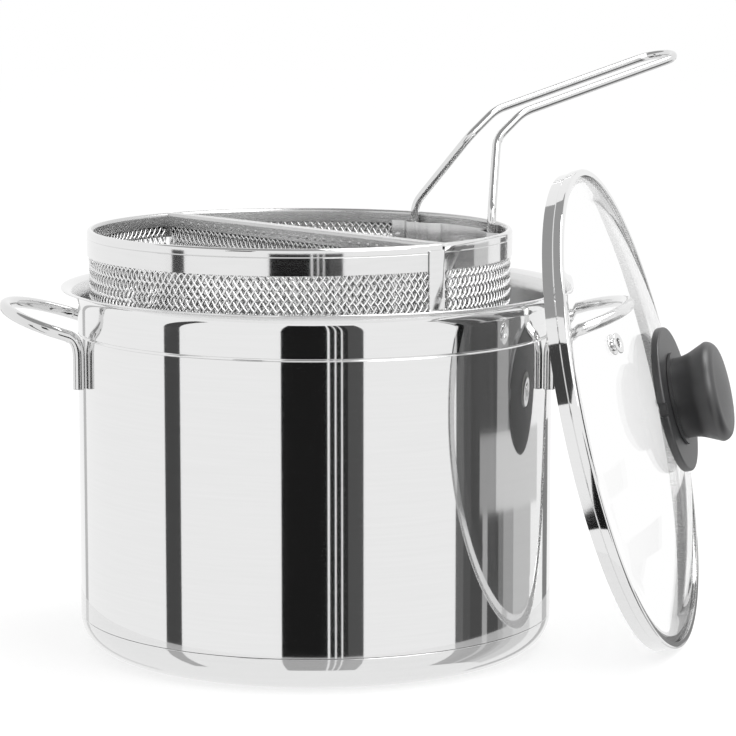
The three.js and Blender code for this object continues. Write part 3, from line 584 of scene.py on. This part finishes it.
# Seam strips: a folded strip of stainless sheet that laps over the corner where a half's two cloths meet,
# spot welded to the rim above and the hoop below.
seam_low, seam_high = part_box("front_seam_strip")
seam_width = 0.0095
seam_soft = 0.00012
seam_back_steps = 6
seam_inside = basket_radius + contact_gap
seam_outside = seam_inside + sheet
leaf_back = split_gap / 2 - contact_gap
leaf_face = leaf_back - sheet
seam_corner = math.pi - math.asin(leaf_face / seam_outside)
seam_sweep = math.degrees(seam_width / basket_radius)
leaf_end = -basket_radius + seam_width
far_end = seam_corner - math.radians(seam_sweep)
back_turn = math.pi - math.asin(leaf_back / seam_inside) - far_end
for half, place in halves.items():
    plan = flat_outline(
        (leaf_end, leaf_back),
        (leaf_end, leaf_face),
        (seam_outside * math.cos(seam_corner), leaf_face),
        (0.0, 0.0, -seam_sweep),
    )
    bmesh.ops.remove_doubles(plan, verts=plan.verts, dist=merge_distance)
    outer = plan.verts[:]
    tip = outer[-1]
    inner = bmesh.ops.extrude_vert_indiv(plan, verts=[tip])["verts"][0]
    inner.co = (seam_inside * math.cos(far_end), seam_inside * math.sin(far_end), 0.0)
    swept = bmesh.ops.spin(plan, geom=[inner], cent=(0.0, 0.0, 0.0), axis=(0.0, 0.0, 1.0),
                           angle=back_turn, steps=seam_back_steps)
    plan.edges.new((swept["geom_last"][0], outer[0]))
    bmesh.ops.contextual_create(plan, geom=plan.edges[:])
    grown = bmesh.ops.extrude_face_region(plan, geom=plan.faces[:])["geom"]
    bmesh.ops.translate(plan, verts=verts_of(grown), vec=(0.0, 0.0, seam_high.z - seam_low.z))
    bmesh.ops.translate(plan, verts=plan.verts, vec=(0.0, 0.0, seam_low.z))
    bmesh.ops.recalc_face_normals(plan, faces=plan.faces)
    soften(plan, seam_soft)
    plan.transform(place)
    add_piece(f"{half}_corner_strip", plan, band_steel, f"{half}_basket", "basket_sheet",
              f"{half}_seam_strip")


# Handle brackets: a stainless strip pressed into two raised sleeves and spot welded inside each half's
# rim. The lift handle's sprung legs drop into the sleeves of either half.
bracket_low, bracket_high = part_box("rear_handle_bracket")
bracket_turn = 7.0
bracket_middle = math.radians(90.0 - bracket_turn)
bracket_inset = rim_thickness + contact_gap
bracket_sheet = 0.001
bracket_soft = 0.0002
bracket_weld = 0.0024
lift_radius = 0.00225
leg_spread = 0.070
leg_inset = bracket_inset + contact_gap + lift_radius
leg_circle = basket_radius - leg_inset
sleeve_inset = leg_inset + lift_radius + contact_gap
sleeve_outer = leg_spread / 2 + lift_radius + contact_gap
sleeve_flat = 0.014
sleeve_inner = sleeve_outer - sleeve_flat
sleeve_slope = 0.0045
bracket_tab = 0.008
toe = sleeve_outer + sleeve_slope
foot = sleeve_inner - sleeve_slope
bracket_steel = streaked_metal("bracket_steel", (0.5, 0.66), (0.2, 0.28), (500.0, 500.0, 40.0), 4e-6)


def bracket_point(along, inset):
    """Plan point so far along a bracket from its middle and in from the basket's outside."""
    angle = bracket_middle + along / leg_circle
    radius = basket_radius - inset
    return radius * math.cos(angle), radius * math.sin(angle)


def round_run(along):
    """Stretch of bracket that follows the basket's round wall, as an outline's arc."""
    return 0.0, 0.0, math.degrees(along / leg_circle)


for half, place in halves.items():
    plan = flat_outline(
        bracket_point(-toe - bracket_tab, bracket_inset),
        round_run(bracket_tab),
        bracket_point(-sleeve_outer, sleeve_inset),
        round_run(sleeve_outer - sleeve_inner),
        bracket_point(-foot, bracket_inset),
        round_run(2 * foot),
        bracket_point(sleeve_inner, sleeve_inset),
        round_run(sleeve_outer - sleeve_inner),
        bracket_point(toe, bracket_inset),
        round_run(bracket_tab),
    )
    bmesh.ops.translate(plan, verts=plan.verts, vec=(0.0, 0.0, bracket_low.z))
    raised = bmesh.ops.extrude_edge_only(plan, edges=plan.edges[:])["geom"]
    bmesh.ops.translate(plan, verts=verts_of(raised), vec=(0.0, 0.0, bracket_high.z - bracket_low.z))
    bmesh.ops.recalc_face_normals(plan, faces=plan.faces)
    inward = plan.faces[0]
    if inward.normal.dot(inward.calc_center_median().xy.to_3d()) > 0:
        bmesh.ops.reverse_faces(plan, faces=plan.faces)
    bmesh.ops.solidify(plan, geom=plan.faces[:], thickness=-bracket_sheet)
    bmesh.ops.recalc_face_normals(plan, faces=plan.faces)
    soften(plan, bracket_soft)
    for along in (-toe - bracket_tab / 2, 0.0, toe + bracket_tab / 2):
        spot = bracket_point(along, bracket_inset + bracket_sheet)
        height = (bracket_low.z + bracket_high.z) / 2
        turn = bracket_middle + along / leg_circle - math.pi / 2
        weld_spots(plan, Vector((*spot, height)), (0.0, 0.0, 0.0), 1, bracket_weld, turn)
    plan.transform(place)
    add_piece(f"{half}_sleeved_strip", plan, bracket_steel, f"{half}_basket", "basket_sheet",
              f"{half}_handle_bracket")


# Lift handle: one length of round stainless wire, bent from a leg in one sleeve up and out to the grip,
# round its end and back to the other leg. It is sprung into the rear half and lifts out of it.
lift_box_low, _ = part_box("lift_handle")
leg_rise = 0.0042
shoulder_run = Vector((0.0137, 0.0368))
neck_run = Vector((0.0166, 0.0129))
grip_run = Vector((0.0955, 0.0243))
grip_half = 0.012
lift_bend = 0.0055
outwards = Vector((math.cos(bracket_middle), math.sin(bracket_middle), 0.0))
sideways = Vector((-math.sin(bracket_middle), math.cos(bracket_middle), 0.0))


def lift_point(reach, across):
    """Point of the handle so far out and up, given as a pair, and across from its middle."""
    return outwards * reach.x + sideways * across + Vector((0.0, 0.0, reach.y))


leg_angle = leg_spread / 2 / leg_circle
leg_out = leg_circle * math.cos(leg_angle)
leg_across = leg_circle * math.sin(leg_angle)
leg_foot = Vector((leg_out, lift_box_low.z))
leg_top = Vector((leg_out, basket_top + leg_rise))
shoulder = Vector((leg_circle, leg_top.y)) + shoulder_run
neck = shoulder + neck_run
grip_end = neck + grip_run
grip_way = Vector((1.0, grip_run.y / grip_run.x))


def lift_leg_knots(side):
    """Knots from a leg's foot up and out to the end of the straight grip, on one side of the handle."""
    return wire_bends([
        lift_point(leg_foot, side * leg_across),
        lift_point(leg_top, side * leg_across),
        lift_point(shoulder, side * grip_half),
        lift_point(neck, side * grip_half),
        lift_point(grip_end, side * grip_half),
    ], lift_bend)


near_lift = lift_leg_knots(1.0)
far_lift = [knot[::-1] for knot in lift_leg_knots(-1.0)[::-1]]
grip_start = near_lift.pop()[1]
grip_stop = far_lift.pop(0)[1]
grip_tip = grip_end + grip_way * grip_half
grip_swell = grip_end + grip_way * grip_half * round_handle
lift_knots = [
    *near_lift,
    (grip_start, grip_start, lift_point(grip_swell, grip_half)),
    (
        lift_point(grip_tip, grip_half * round_handle),
        lift_point(grip_tip, 0.0),
        lift_point(grip_tip, -grip_half * round_handle),
    ),
    (lift_point(grip_swell, -grip_half), grip_stop, grip_stop),
    *far_lift,
]
lift_wire = bent_wire(lift_knots, lift_radius)
lift_wire.transform(halves["rear"])
add_piece("lift_loop", lift_wire, wire_steel, "lift_handle", "handle_wire", "lift_handle")


# Lid glass: a shallow tempered dome with a flat edge, pierced for the vent and the knob's screw and held
# in the lid's band. The lid stands on its edge and leans on the right side handle.
def box_middle(node):
    """Middle of a CAD node's box."""
    low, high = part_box(node)
    return (low + high) / 2


def cut_out(bm, tool):
    """Cuts one closed bmesh out of another."""
    made = []
    for shape in (bm, tool):
        made.append(bpy.data.objects.new("cut", as_mesh("cut", shape)))
        bpy.context.scene.collection.objects.link(made[-1])
    blank, cutter = made
    boolean = blank.modifiers.new("cut", "BOOLEAN")
    boolean.object = cutter
    boolean.operation = "DIFFERENCE"
    boolean.solver = "EXACT"
    bpy.context.view_layer.update()
    mesh = bpy.data.meshes.new_from_object(blank.evaluated_get(bpy.context.evaluated_depsgraph_get()))
    rest = bmesh.new()
    rest.from_mesh(mesh)
    for item in made:
        bpy.data.objects.remove(item)
    return rest


lid_axis = (box_middle("lid_knob_seal") - box_middle("lid_knob_washer")).normalized()
lid_level = Vector((0.0, 0.0, 1.0)).cross(lid_axis).normalized()
lid_foot = min(vert.co.dot(lid_axis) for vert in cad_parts["lid_band"].data.vertices)
lid_centre = box_middle("lid_knob_seal")
lid_origin = lid_centre + lid_axis * (lid_foot - lid_centre.dot(lid_axis))
lid_turn = Matrix((lid_level, lid_axis.cross(lid_level), lid_axis)).transposed()
lid_place = Matrix.Translation(lid_origin) @ lid_turn.to_4x4()

lid_overhang = 0.0037
lid_radius = pot_radius + lid_overhang
band_height = 0.0102
band_wall = 0.0005
band_step = 0.0008
glass_thickness = 0.0035
glass_rise = 0.028
glass_radius = lid_radius - band_step - band_wall - contact_gap
edge_top = band_height - band_wall - contact_gap
flat_edge = 0.010
dome_reach = glass_radius - flat_edge
dome_rise = glass_rise - edge_top
dome_radius = (dome_reach**2 + dome_rise**2) / (2 * dome_rise)
dome_centre = glass_rise - dome_radius
screw_hole = 0.0027
dome_sweep = math.degrees(math.asin(dome_reach / dome_radius) - math.asin(screw_hole / dome_radius))
dome_turn = 0.006
glass_steps = 160
same_place = 1e-6
hole_top = dome_centre + math.sqrt(dome_radius**2 - screw_hole**2)
glass_outline = flat_outline(
    (screw_hole, hole_top - glass_thickness),
    (0.0, dome_centre - glass_thickness, -dome_sweep),
    (glass_radius, edge_top - glass_thickness),
    (glass_radius, edge_top),
    (dome_reach, edge_top),
    (0.0, dome_centre, dome_sweep),
    (screw_hole, hole_top - glass_thickness),
)
kinks = [vert for vert in glass_outline.verts if abs(vert.co.x - dome_reach) < same_place]
bmesh.ops.bevel(glass_outline, geom=kinks, offset=dome_turn, affect="VERTICES", segments=8, profile=0.5,
                material=-1)
glass = turned(glass_outline, glass_steps)

vent_radius = 0.0695
vent_angle = math.radians(146.0)
vent_slope = math.asin(vent_radius / dome_radius)
vent_height = dome_centre + math.sqrt(dome_radius**2 - vent_radius**2)
vent_place = (
    Matrix.Rotation(vent_angle, 4, "Z")
    @ Matrix.Translation((vent_radius, 0.0, vent_height))
    @ Matrix.Rotation(vent_slope, 4, "Y")
)
eyelet_bore = 0.002
eyelet_wall = 0.0008
eyelet_barrel = eyelet_bore + eyelet_wall
vent_hole = eyelet_barrel + contact_gap
vent_tool = bmesh.new()
bmesh.ops.create_cone(vent_tool, cap_ends=True, segments=32, radius1=vent_hole, radius2=vent_hole,
                      depth=4 * glass_thickness, matrix=vent_place)
glass = cut_out(glass, vent_tool)
glass.transform(lid_place)

clear_glass, glass_nodes, glass_links, glass_shader = new_material("clear_glass")
glass_shader.inputs["Base Color"].default_value = (1.0, 1.0, 1.0, 1.0)
glass_shader.inputs["IOR"].default_value = 1.25
glass_shader.inputs["Transmission Weight"].default_value = 1.0
glass_where = glass_nodes.new("ShaderNodeTexCoord")
glass_smear = glass_nodes.new("ShaderNodeTexNoise")
glass_smear.inputs["Scale"].default_value = 18.0
glass_rough = glass_nodes.new("ShaderNodeMapRange")
glass_rough.inputs["From Min"].default_value = 0.45
glass_rough.inputs["From Max"].default_value = 0.8
glass_rough.inputs["To Min"].default_value = 0.0
glass_rough.inputs["To Max"].default_value = 0.02
glass_links.new(glass_where.outputs["Object"], glass_smear.inputs["Vector"])
glass_links.new(glass_smear.outputs["Fac"], glass_rough.inputs["Value"])
glass_links.new(glass_rough.outputs["Result"], glass_shader.inputs["Roughness"])
add_piece("domed_glass", glass, clear_glass, "lid", "lid_glass", "lid_glass")


# Lid band: a stainless strip rolled round the edge of the glass, which it grips between two flanges, with
# a step that sits in the pot's lip. It is polished outside and left dull where it faces the glass, where
# its steel is painted darker as shade.
band_flange = 0.0034
band_seat = 0.006
band_round = 0.0011
band_low = lid_radius - band_step
band_inner = band_low - band_wall
band_middle = band_height / 2
seat_top = edge_top - glass_thickness - contact_gap
band_outline = flat_outline(
    (band_inner, 0.0),
    (band_low, 0.0),
    (band_low, band_middle),
    (lid_radius, band_middle + band_step),
    (lid_radius, band_height - band_round),
    (lid_radius - band_round, band_height - band_round, 90),
    (lid_radius - band_flange, band_height),
    (lid_radius - band_flange, band_height - band_wall),
    (band_inner, band_height - band_wall),
    (band_inner, seat_top),
    (band_low - band_seat, seat_top),
    (band_low - band_seat, seat_top - band_wall),
    (band_inner, seat_top - band_wall),
    (band_inner, 0.0),
)
lid_band = turned(band_outline, pot_steps)
# Faces that look in towards the glass take the dull steel, painted darker as shade.
for face in lid_band.faces:
    face.material_index = int(face.normal.xy.dot(face.calc_center_median().xy) < 0)
lid_band.transform(lid_place)
band_piece = add_piece("rolled_band", lid_band, mirror_steel, "lid", "polished_steel", "lid_band")
band_piece.data.materials.append(shaded_dull_steel)


# Vent eyelet: a tubular steel rivet that lets steam out through the glass. It is held by its two brims,
# which are rolled out round the hole.
small_steps = 48
brim_reach = 0.0024
brim = eyelet_barrel + brim_reach
brim_half = 0.0004
brim_top = contact_gap
brim_under = -glass_thickness - contact_gap
eyelet_outline = flat_outline(
    (eyelet_bore, brim_under - 2 * brim_half),
    (brim - brim_half, brim_under - 2 * brim_half),
    (brim - brim_half, brim_under - brim_half, 180),
    (eyelet_barrel, brim_under),
    (eyelet_barrel, brim_top),
    (brim - brim_half, brim_top),
    (brim - brim_half, brim_top + brim_half, 180),
    (eyelet_bore + 2 * brim_half, brim_top + 2 * brim_half),
    (eyelet_bore + 2 * brim_half, brim_top, 90),
    (eyelet_bore, brim_under - 2 * brim_half),
)
eyelet = turned(eyelet_outline, small_steps)
eyelet.transform(lid_place @ vent_place)
add_piece("rolled_eyelet", eyelet, band_steel, "lid", "polished_steel", "lid_vent_eyelet")


# Knob seal: a thin moulded silicone ring that beds the knob's base on the glass, pressed between the two
# by the knob's screw.
def moulded(name, colour, gloss, grain, depth):
    """Moulded plastic or rubber with a fine even grain, a little darker and lighter than its colour."""
    colours = [[share * channel for channel in colour] for share in (0.8, 1.2)]
    material, shader = grained(name, colours, gloss, (grain,) * 3, detail=3.0, relief=0.4, depth=depth)
    shader.inputs["Specular IOR Level"].default_value = 0.9
    return material


def flat_ring(bore, radius, low, high, soft):
    """Ring with rounded outer edges."""
    return turned(flat_outline(
        (bore, low),
        (radius - soft, low),
        (radius - soft, low + soft, 90),
        (radius, high - soft),
        (radius - soft, high - soft, 90),
        (bore, high),
        (bore, low),
    ), ring_steps)


ring_steps = 96
seal_radius = 0.010
seal_thickness = 0.0008
seal_soft = 0.0003
seal_low = glass_rise + contact_gap
seal_top = seal_low + seal_thickness
seal = flat_ring(screw_hole, seal_radius, seal_low, seal_top, seal_soft)
seal.transform(lid_place)
silicone = moulded("silicone", (0.75, 0.75, 0.74), (0.5, 0.65), 900.0, 2e-5)
add_piece("bedding_ring", seal, silicone, "lid", "seal_silicone", "lid_knob_seal")


# Knob base: a black plastic disc that keeps fingers off the glass, moulded with rounded edges and a notch
# in its rim, and held between the seal and the knob.
black_plastic = moulded("black_plastic", (0.018, 0.018, 0.019), (0.34, 0.46), 1600.0, 2.5e-5)
base_low = seal_top + contact_gap
base_thickness = 0.0044
base_radius = 0.037
base_soft = 0.0011
knob_base = flat_ring(screw_hole, base_radius, base_low, base_low + base_thickness, base_soft)
notch_wide = 0.007
notch_deep = 0.003
notch_tool = bmesh.new()
notch_place = Matrix.Translation((-base_radius, 0.0, base_low + base_thickness))
notch_size = Matrix.Diagonal((2 * notch_deep, notch_wide, 3 * base_thickness, 1.0))
bmesh.ops.create_cube(notch_tool, size=1.0, matrix=notch_place @ notch_size)
knob_base = cut_out(knob_base, notch_tool)
knob_base.transform(lid_place)
add_piece("notched_disc", knob_base, black_plastic, "lid", "knob_plastic", "lid_knob_base")


# Knob: a black plastic grip, moulded with a thin ring round its foot and a straight neck that flares to a
# rounded edge and a slightly domed end. A screw from under the glass holds it by a blind hole.
knob_low = base_low + base_thickness + contact_gap
knob_height = 0.023
knob_radius = 0.0255
knob_edge = 0.005
knob_crown = knob_edge / 4
neck_radius = 0.0205
neck_height = 0.0065
foot_radius = 0.0235
foot_height = 0.0012
knob_bend = 0.004
knob_steps = 128
flare_top = knob_low + knob_height - knob_edge
screw_bite = 0.0133
crown_radius = ((knob_radius - knob_edge) ** 2 + knob_crown**2) / (2 * knob_crown)
crown_sweep = math.degrees(math.asin((knob_radius - knob_edge) / crown_radius))
knob_outline = flat_outline(
    (0.0, knob_low + screw_bite),
    (screw_hole, knob_low + screw_bite),
    (screw_hole, knob_low),
    (foot_radius, knob_low),
    (foot_radius, knob_low + foot_height),
    (neck_radius, knob_low + foot_height),
    (neck_radius, knob_low + neck_height),
    (knob_radius, flare_top),
    (knob_radius - knob_edge, flare_top, 90),
    (0.0, knob_low + knob_height + knob_crown - crown_radius, crown_sweep),
)
bends = [vert for vert in knob_outline.verts if abs(vert.co.y - knob_low - neck_height) < same_place]
bmesh.ops.bevel(knob_outline, geom=bends, offset=knob_bend, affect="VERTICES", segments=6, profile=0.5,
                material=-1)
knob = turned(knob_outline, knob_steps)
knob.transform(lid_place)
add_piece("flared_grip", knob, black_plastic, "lid", "knob_plastic", "lid_knob")


# Knob washer and screw: a steel washer spreads the screw's pull on the underside of the glass, and a
# domed cross-head screw runs through it up into the knob.
washer_radius = 0.008
washer_thickness = 0.001
washer_soft = 0.0002
dome_under = dome_centre + math.sqrt(dome_radius**2 - washer_radius**2) - glass_thickness
washer_top = dome_under - contact_gap
washer = flat_ring(screw_hole, washer_radius, washer_top - washer_thickness, washer_top, washer_soft)
washer.transform(lid_place)
add_piece("flat_washer", washer, band_steel, "lid", "polished_steel", "lid_knob_washer")

screw_radius = 0.0024
head_radius = 0.005
head_height = 0.003
head_top = washer_top - washer_thickness - contact_gap
head_round = (head_radius**2 + head_height**2) / (2 * head_height)
head_sweep = math.degrees(math.asin(head_radius / head_round))
screw_tip = knob_low + screw_bite - contact_gap
slot_long = 0.005
slot_wide = 0.0011
slot_deep = 0.0014
screw = turned(flat_outline(
    (0.0, head_top - head_height),
    (0.0, head_top - head_height + head_round, head_sweep),
    (screw_radius, head_top),
    (screw_radius, screw_tip),
    (0.0, screw_tip),
), small_steps)
for across in (0.0, math.pi / 2):
    slot_tool = bmesh.new()
    slot_place = Matrix.Translation((0.0, 0.0, head_top - head_height)) @ Matrix.Rotation(across, 4, "Z")
    slot_size = Matrix.Diagonal((slot_long, slot_wide, 2 * slot_deep, 1.0))
    bmesh.ops.create_cube(slot_tool, size=1.0, matrix=slot_place @ slot_size)
    screw = cut_out(screw, slot_tool)
screw.transform(lid_place)
add_piece("domed_screw", screw, band_steel, "lid", "polished_steel", "lid_knob_screw")


# Floor and surroundings: a pale table in a white studio, with a soft lamp in front and one above. The
# steel mirrors the near part of the table, and black and grey cards that stand round it out of the
# camera's sight, as flags do in a product studio.
def matt_glow(name, tone, glow_tone, glow):
    """Matt finish without any gloss that also shines evenly, with its nodes, its links and its shader."""
    material, nodes, links, shader = new_material(name)
    shader.inputs["Base Color"].default_value = (tone, tone, tone, 1.0)
    shader.inputs["Specular IOR Level"].default_value = 0.0
    shader.inputs["Emission Color"].default_value = (glow_tone, glow_tone, glow_tone, 1.0)
    shader.inputs["Emission Strength"].default_value = glow
    return material, nodes, links, shader


def stage_disc(name, radius, height, tone, glow, cover):
    """Level disc of an even pale finish, which covers a share of what is under it."""
    disc = bmesh.new()
    bmesh.ops.create_circle(disc, cap_ends=True, segments=96, radius=radius)
    mesh = as_mesh(name, disc)
    material, _, _, shader = matt_glow(name, tone, 1.0, glow)
    shader.inputs["Roughness"].default_value = 0.9
    shader.inputs["Alpha"].default_value = cover
    mesh.materials.append(material)
    floor = bpy.data.objects.new(name, mesh)
    floor.location.z = height
    bpy.context.scene.collection.objects.link(floor)
    return floor


table = stage_disc("pale_table", radius=6.0, height=-0.0002, tone=0.3, glow=0.7, cover=1.0)
table.visible_glossy = False
table.visible_transmission = False
near_table = stage_disc("near_table", radius=0.2, height=-0.0004, tone=0.3, glow=0.6, cover=0.5)
near_table.visible_camera = False
near_table.visible_transmission = False

# Each card has the angles where it starts and ends, in degrees round from the front, the heights of its
# lower and upper edges and its grey.
card_distance = 1.6
card_steps = 24
cards = (
    (-73.2, -64.3, -1.6, 0.0, 0.07),
    (-68.5, -61.1, 0.0, 0.12, 0.07),
    (-14.8, 6.2, -1.6, 0.12, 0.013),
    (7.2, 9.5, -1.6, 0.12, 0.02),
    (10.2, 12.4, -1.6, 0.12, 0.02),
    (13.1, 15.5, -1.6, 0.12, 0.03),
    (15.5, 22.6, -1.6, 0.12, 0.09),
    (69.0, 73.5, -1.6, 0.0, 0.15),
    (73.5, 77.8, -1.6, 0.0, 0.1),
    (77.8, 95.0, -0.126, 0.0, 0.08),
    (95.0, 103.4, -0.126, 0.0, 0.36),
    (103.4, 113.8, -0.126, 0.0, 0.16),
    (77.8, 83.4, -0.204, -0.126, 0.08),
    (83.4, 94.5, -0.204, -0.126, 0.36),
    (94.5, 132.8, -0.204, -0.126, 0.68),
    (77.8, 85.4, -1.6, -0.204, 0.08),
    (85.4, 88.7, -1.6, -0.204, 0.42),
    (88.7, 96.5, -1.6, -0.204, 0.08),
    (96.5, 100.2, -1.6, -0.204, 0.2),
    (100.2, 108.4, -1.6, -0.204, 0.38),
    (108.4, 125.2, -1.6, -0.204, 0.58),
    (84.0, 89.2, 0.02, 0.1, 0.08),
    (89.2, 104.8, 0.02, 0.1, 0.2),
    (104.8, 118.9, 0.02, 0.1, 0.62),
    (134.5, 147.6, 0.02, 0.1, 0.1),
    (143.0, 153.0, -1.6, -0.13, 0.25),
    (-38.0, -24.0, 0.42, 1.33, 0.06),
    (-148.0, -142.5, -1.6, 0.0, 0.55),
    (-180.0, 180.0, 1.9, 30.0, 0.37),
)
for number, (start, end, card_low, card_high, grey) in enumerate(cards):
    name = f"card_{number}"
    card = bmesh.new()
    low = card.verts.new((0.0, -card_distance, card_low))
    high = card.verts.new((0.0, -card_distance, card_high))
    card.edges.new((low, high))
    bmesh.ops.rotate(card, verts=card.verts, cent=(0.0, 0.0, 0.0),
                     matrix=Matrix.Rotation(math.radians(start), 3, "Z"))
    bmesh.ops.spin(card, geom=card.verts[:] + card.edges[:], cent=(0.0, 0.0, 0.0), axis=(0.0, 0.0, 1.0),
                   angle=math.radians(end - start), steps=card_steps)
    mesh = as_mesh(name, card)
    material, nodes, links, shader = matt_glow(name, 0.0, grey, 1.0)
    unseen = nodes.new("ShaderNodeBsdfTransparent")
    choice = nodes.new("ShaderNodeMixShader")
    path = nodes.new("ShaderNodeLightPath")
    links.new(path.outputs["Glossy Depth"], choice.inputs["Fac"])
    links.new(unseen.outputs["BSDF"], choice.inputs[1])
    links.new(shader.outputs["BSDF"], choice.inputs[2])
    links.new(choice.outputs["Shader"], nodes["Material Output"].inputs["Surface"])
    mesh.materials.append(material)
    panel = bpy.data.objects.new(name, mesh)
    panel.visible_camera = False
    panel.visible_diffuse = False
    panel.visible_shadow = False
    bpy.context.scene.collection.objects.link(panel)

for name, power, size, place in (
    ("key_light", 10.0, 1.0, Vector((1.0, -1.05, 1.1))),
    ("top_light", 14.0, 1.0, Vector((0.62, 0.1, 1.6))),
):
    lamp_data = bpy.data.lights.new(name, "AREA")
    lamp_data.energy = power
    lamp_data.size = size
    lamp = bpy.data.objects.new(name, lamp_data)
    lamp.location = place
    lamp.rotation_euler = (place - pot_middle).to_track_quat("Z", "Y").to_euler()
    bpy.context.scene.collection.objects.link(lamp)

world = bpy.data.worlds.new("white_studio")
world.use_nodes = True
white = world.node_tree.nodes["Background"]
white.inputs["Color"].default_value = (1.0, 1.0, 1.0, 1.0)
white.inputs["Strength"].default_value = 1.0
bpy.context.scene.world = world
bpy.context.scene.view_settings.view_transform = "Standard"


# Camera: a long lens a little above the pot's mouth, tilted down to it. Its place, lens and tilt were
# fitted to the outlines of the pot's lip and base in the photograph.
camera_data = bpy.data.cameras.new("photo_view")
camera_data.sensor_width = 36.0
camera_data.lens = 155.5
camera = bpy.data.objects.new("photo_view", camera_data)
camera.location = (0.0204, -1.601, 0.3694)
camera.rotation_euler = (math.radians(81.88), 0.0, math.radians(-0.23))
bpy.context.scene.collection.objects.link(camera)
bpy.context.scene.camera = camera
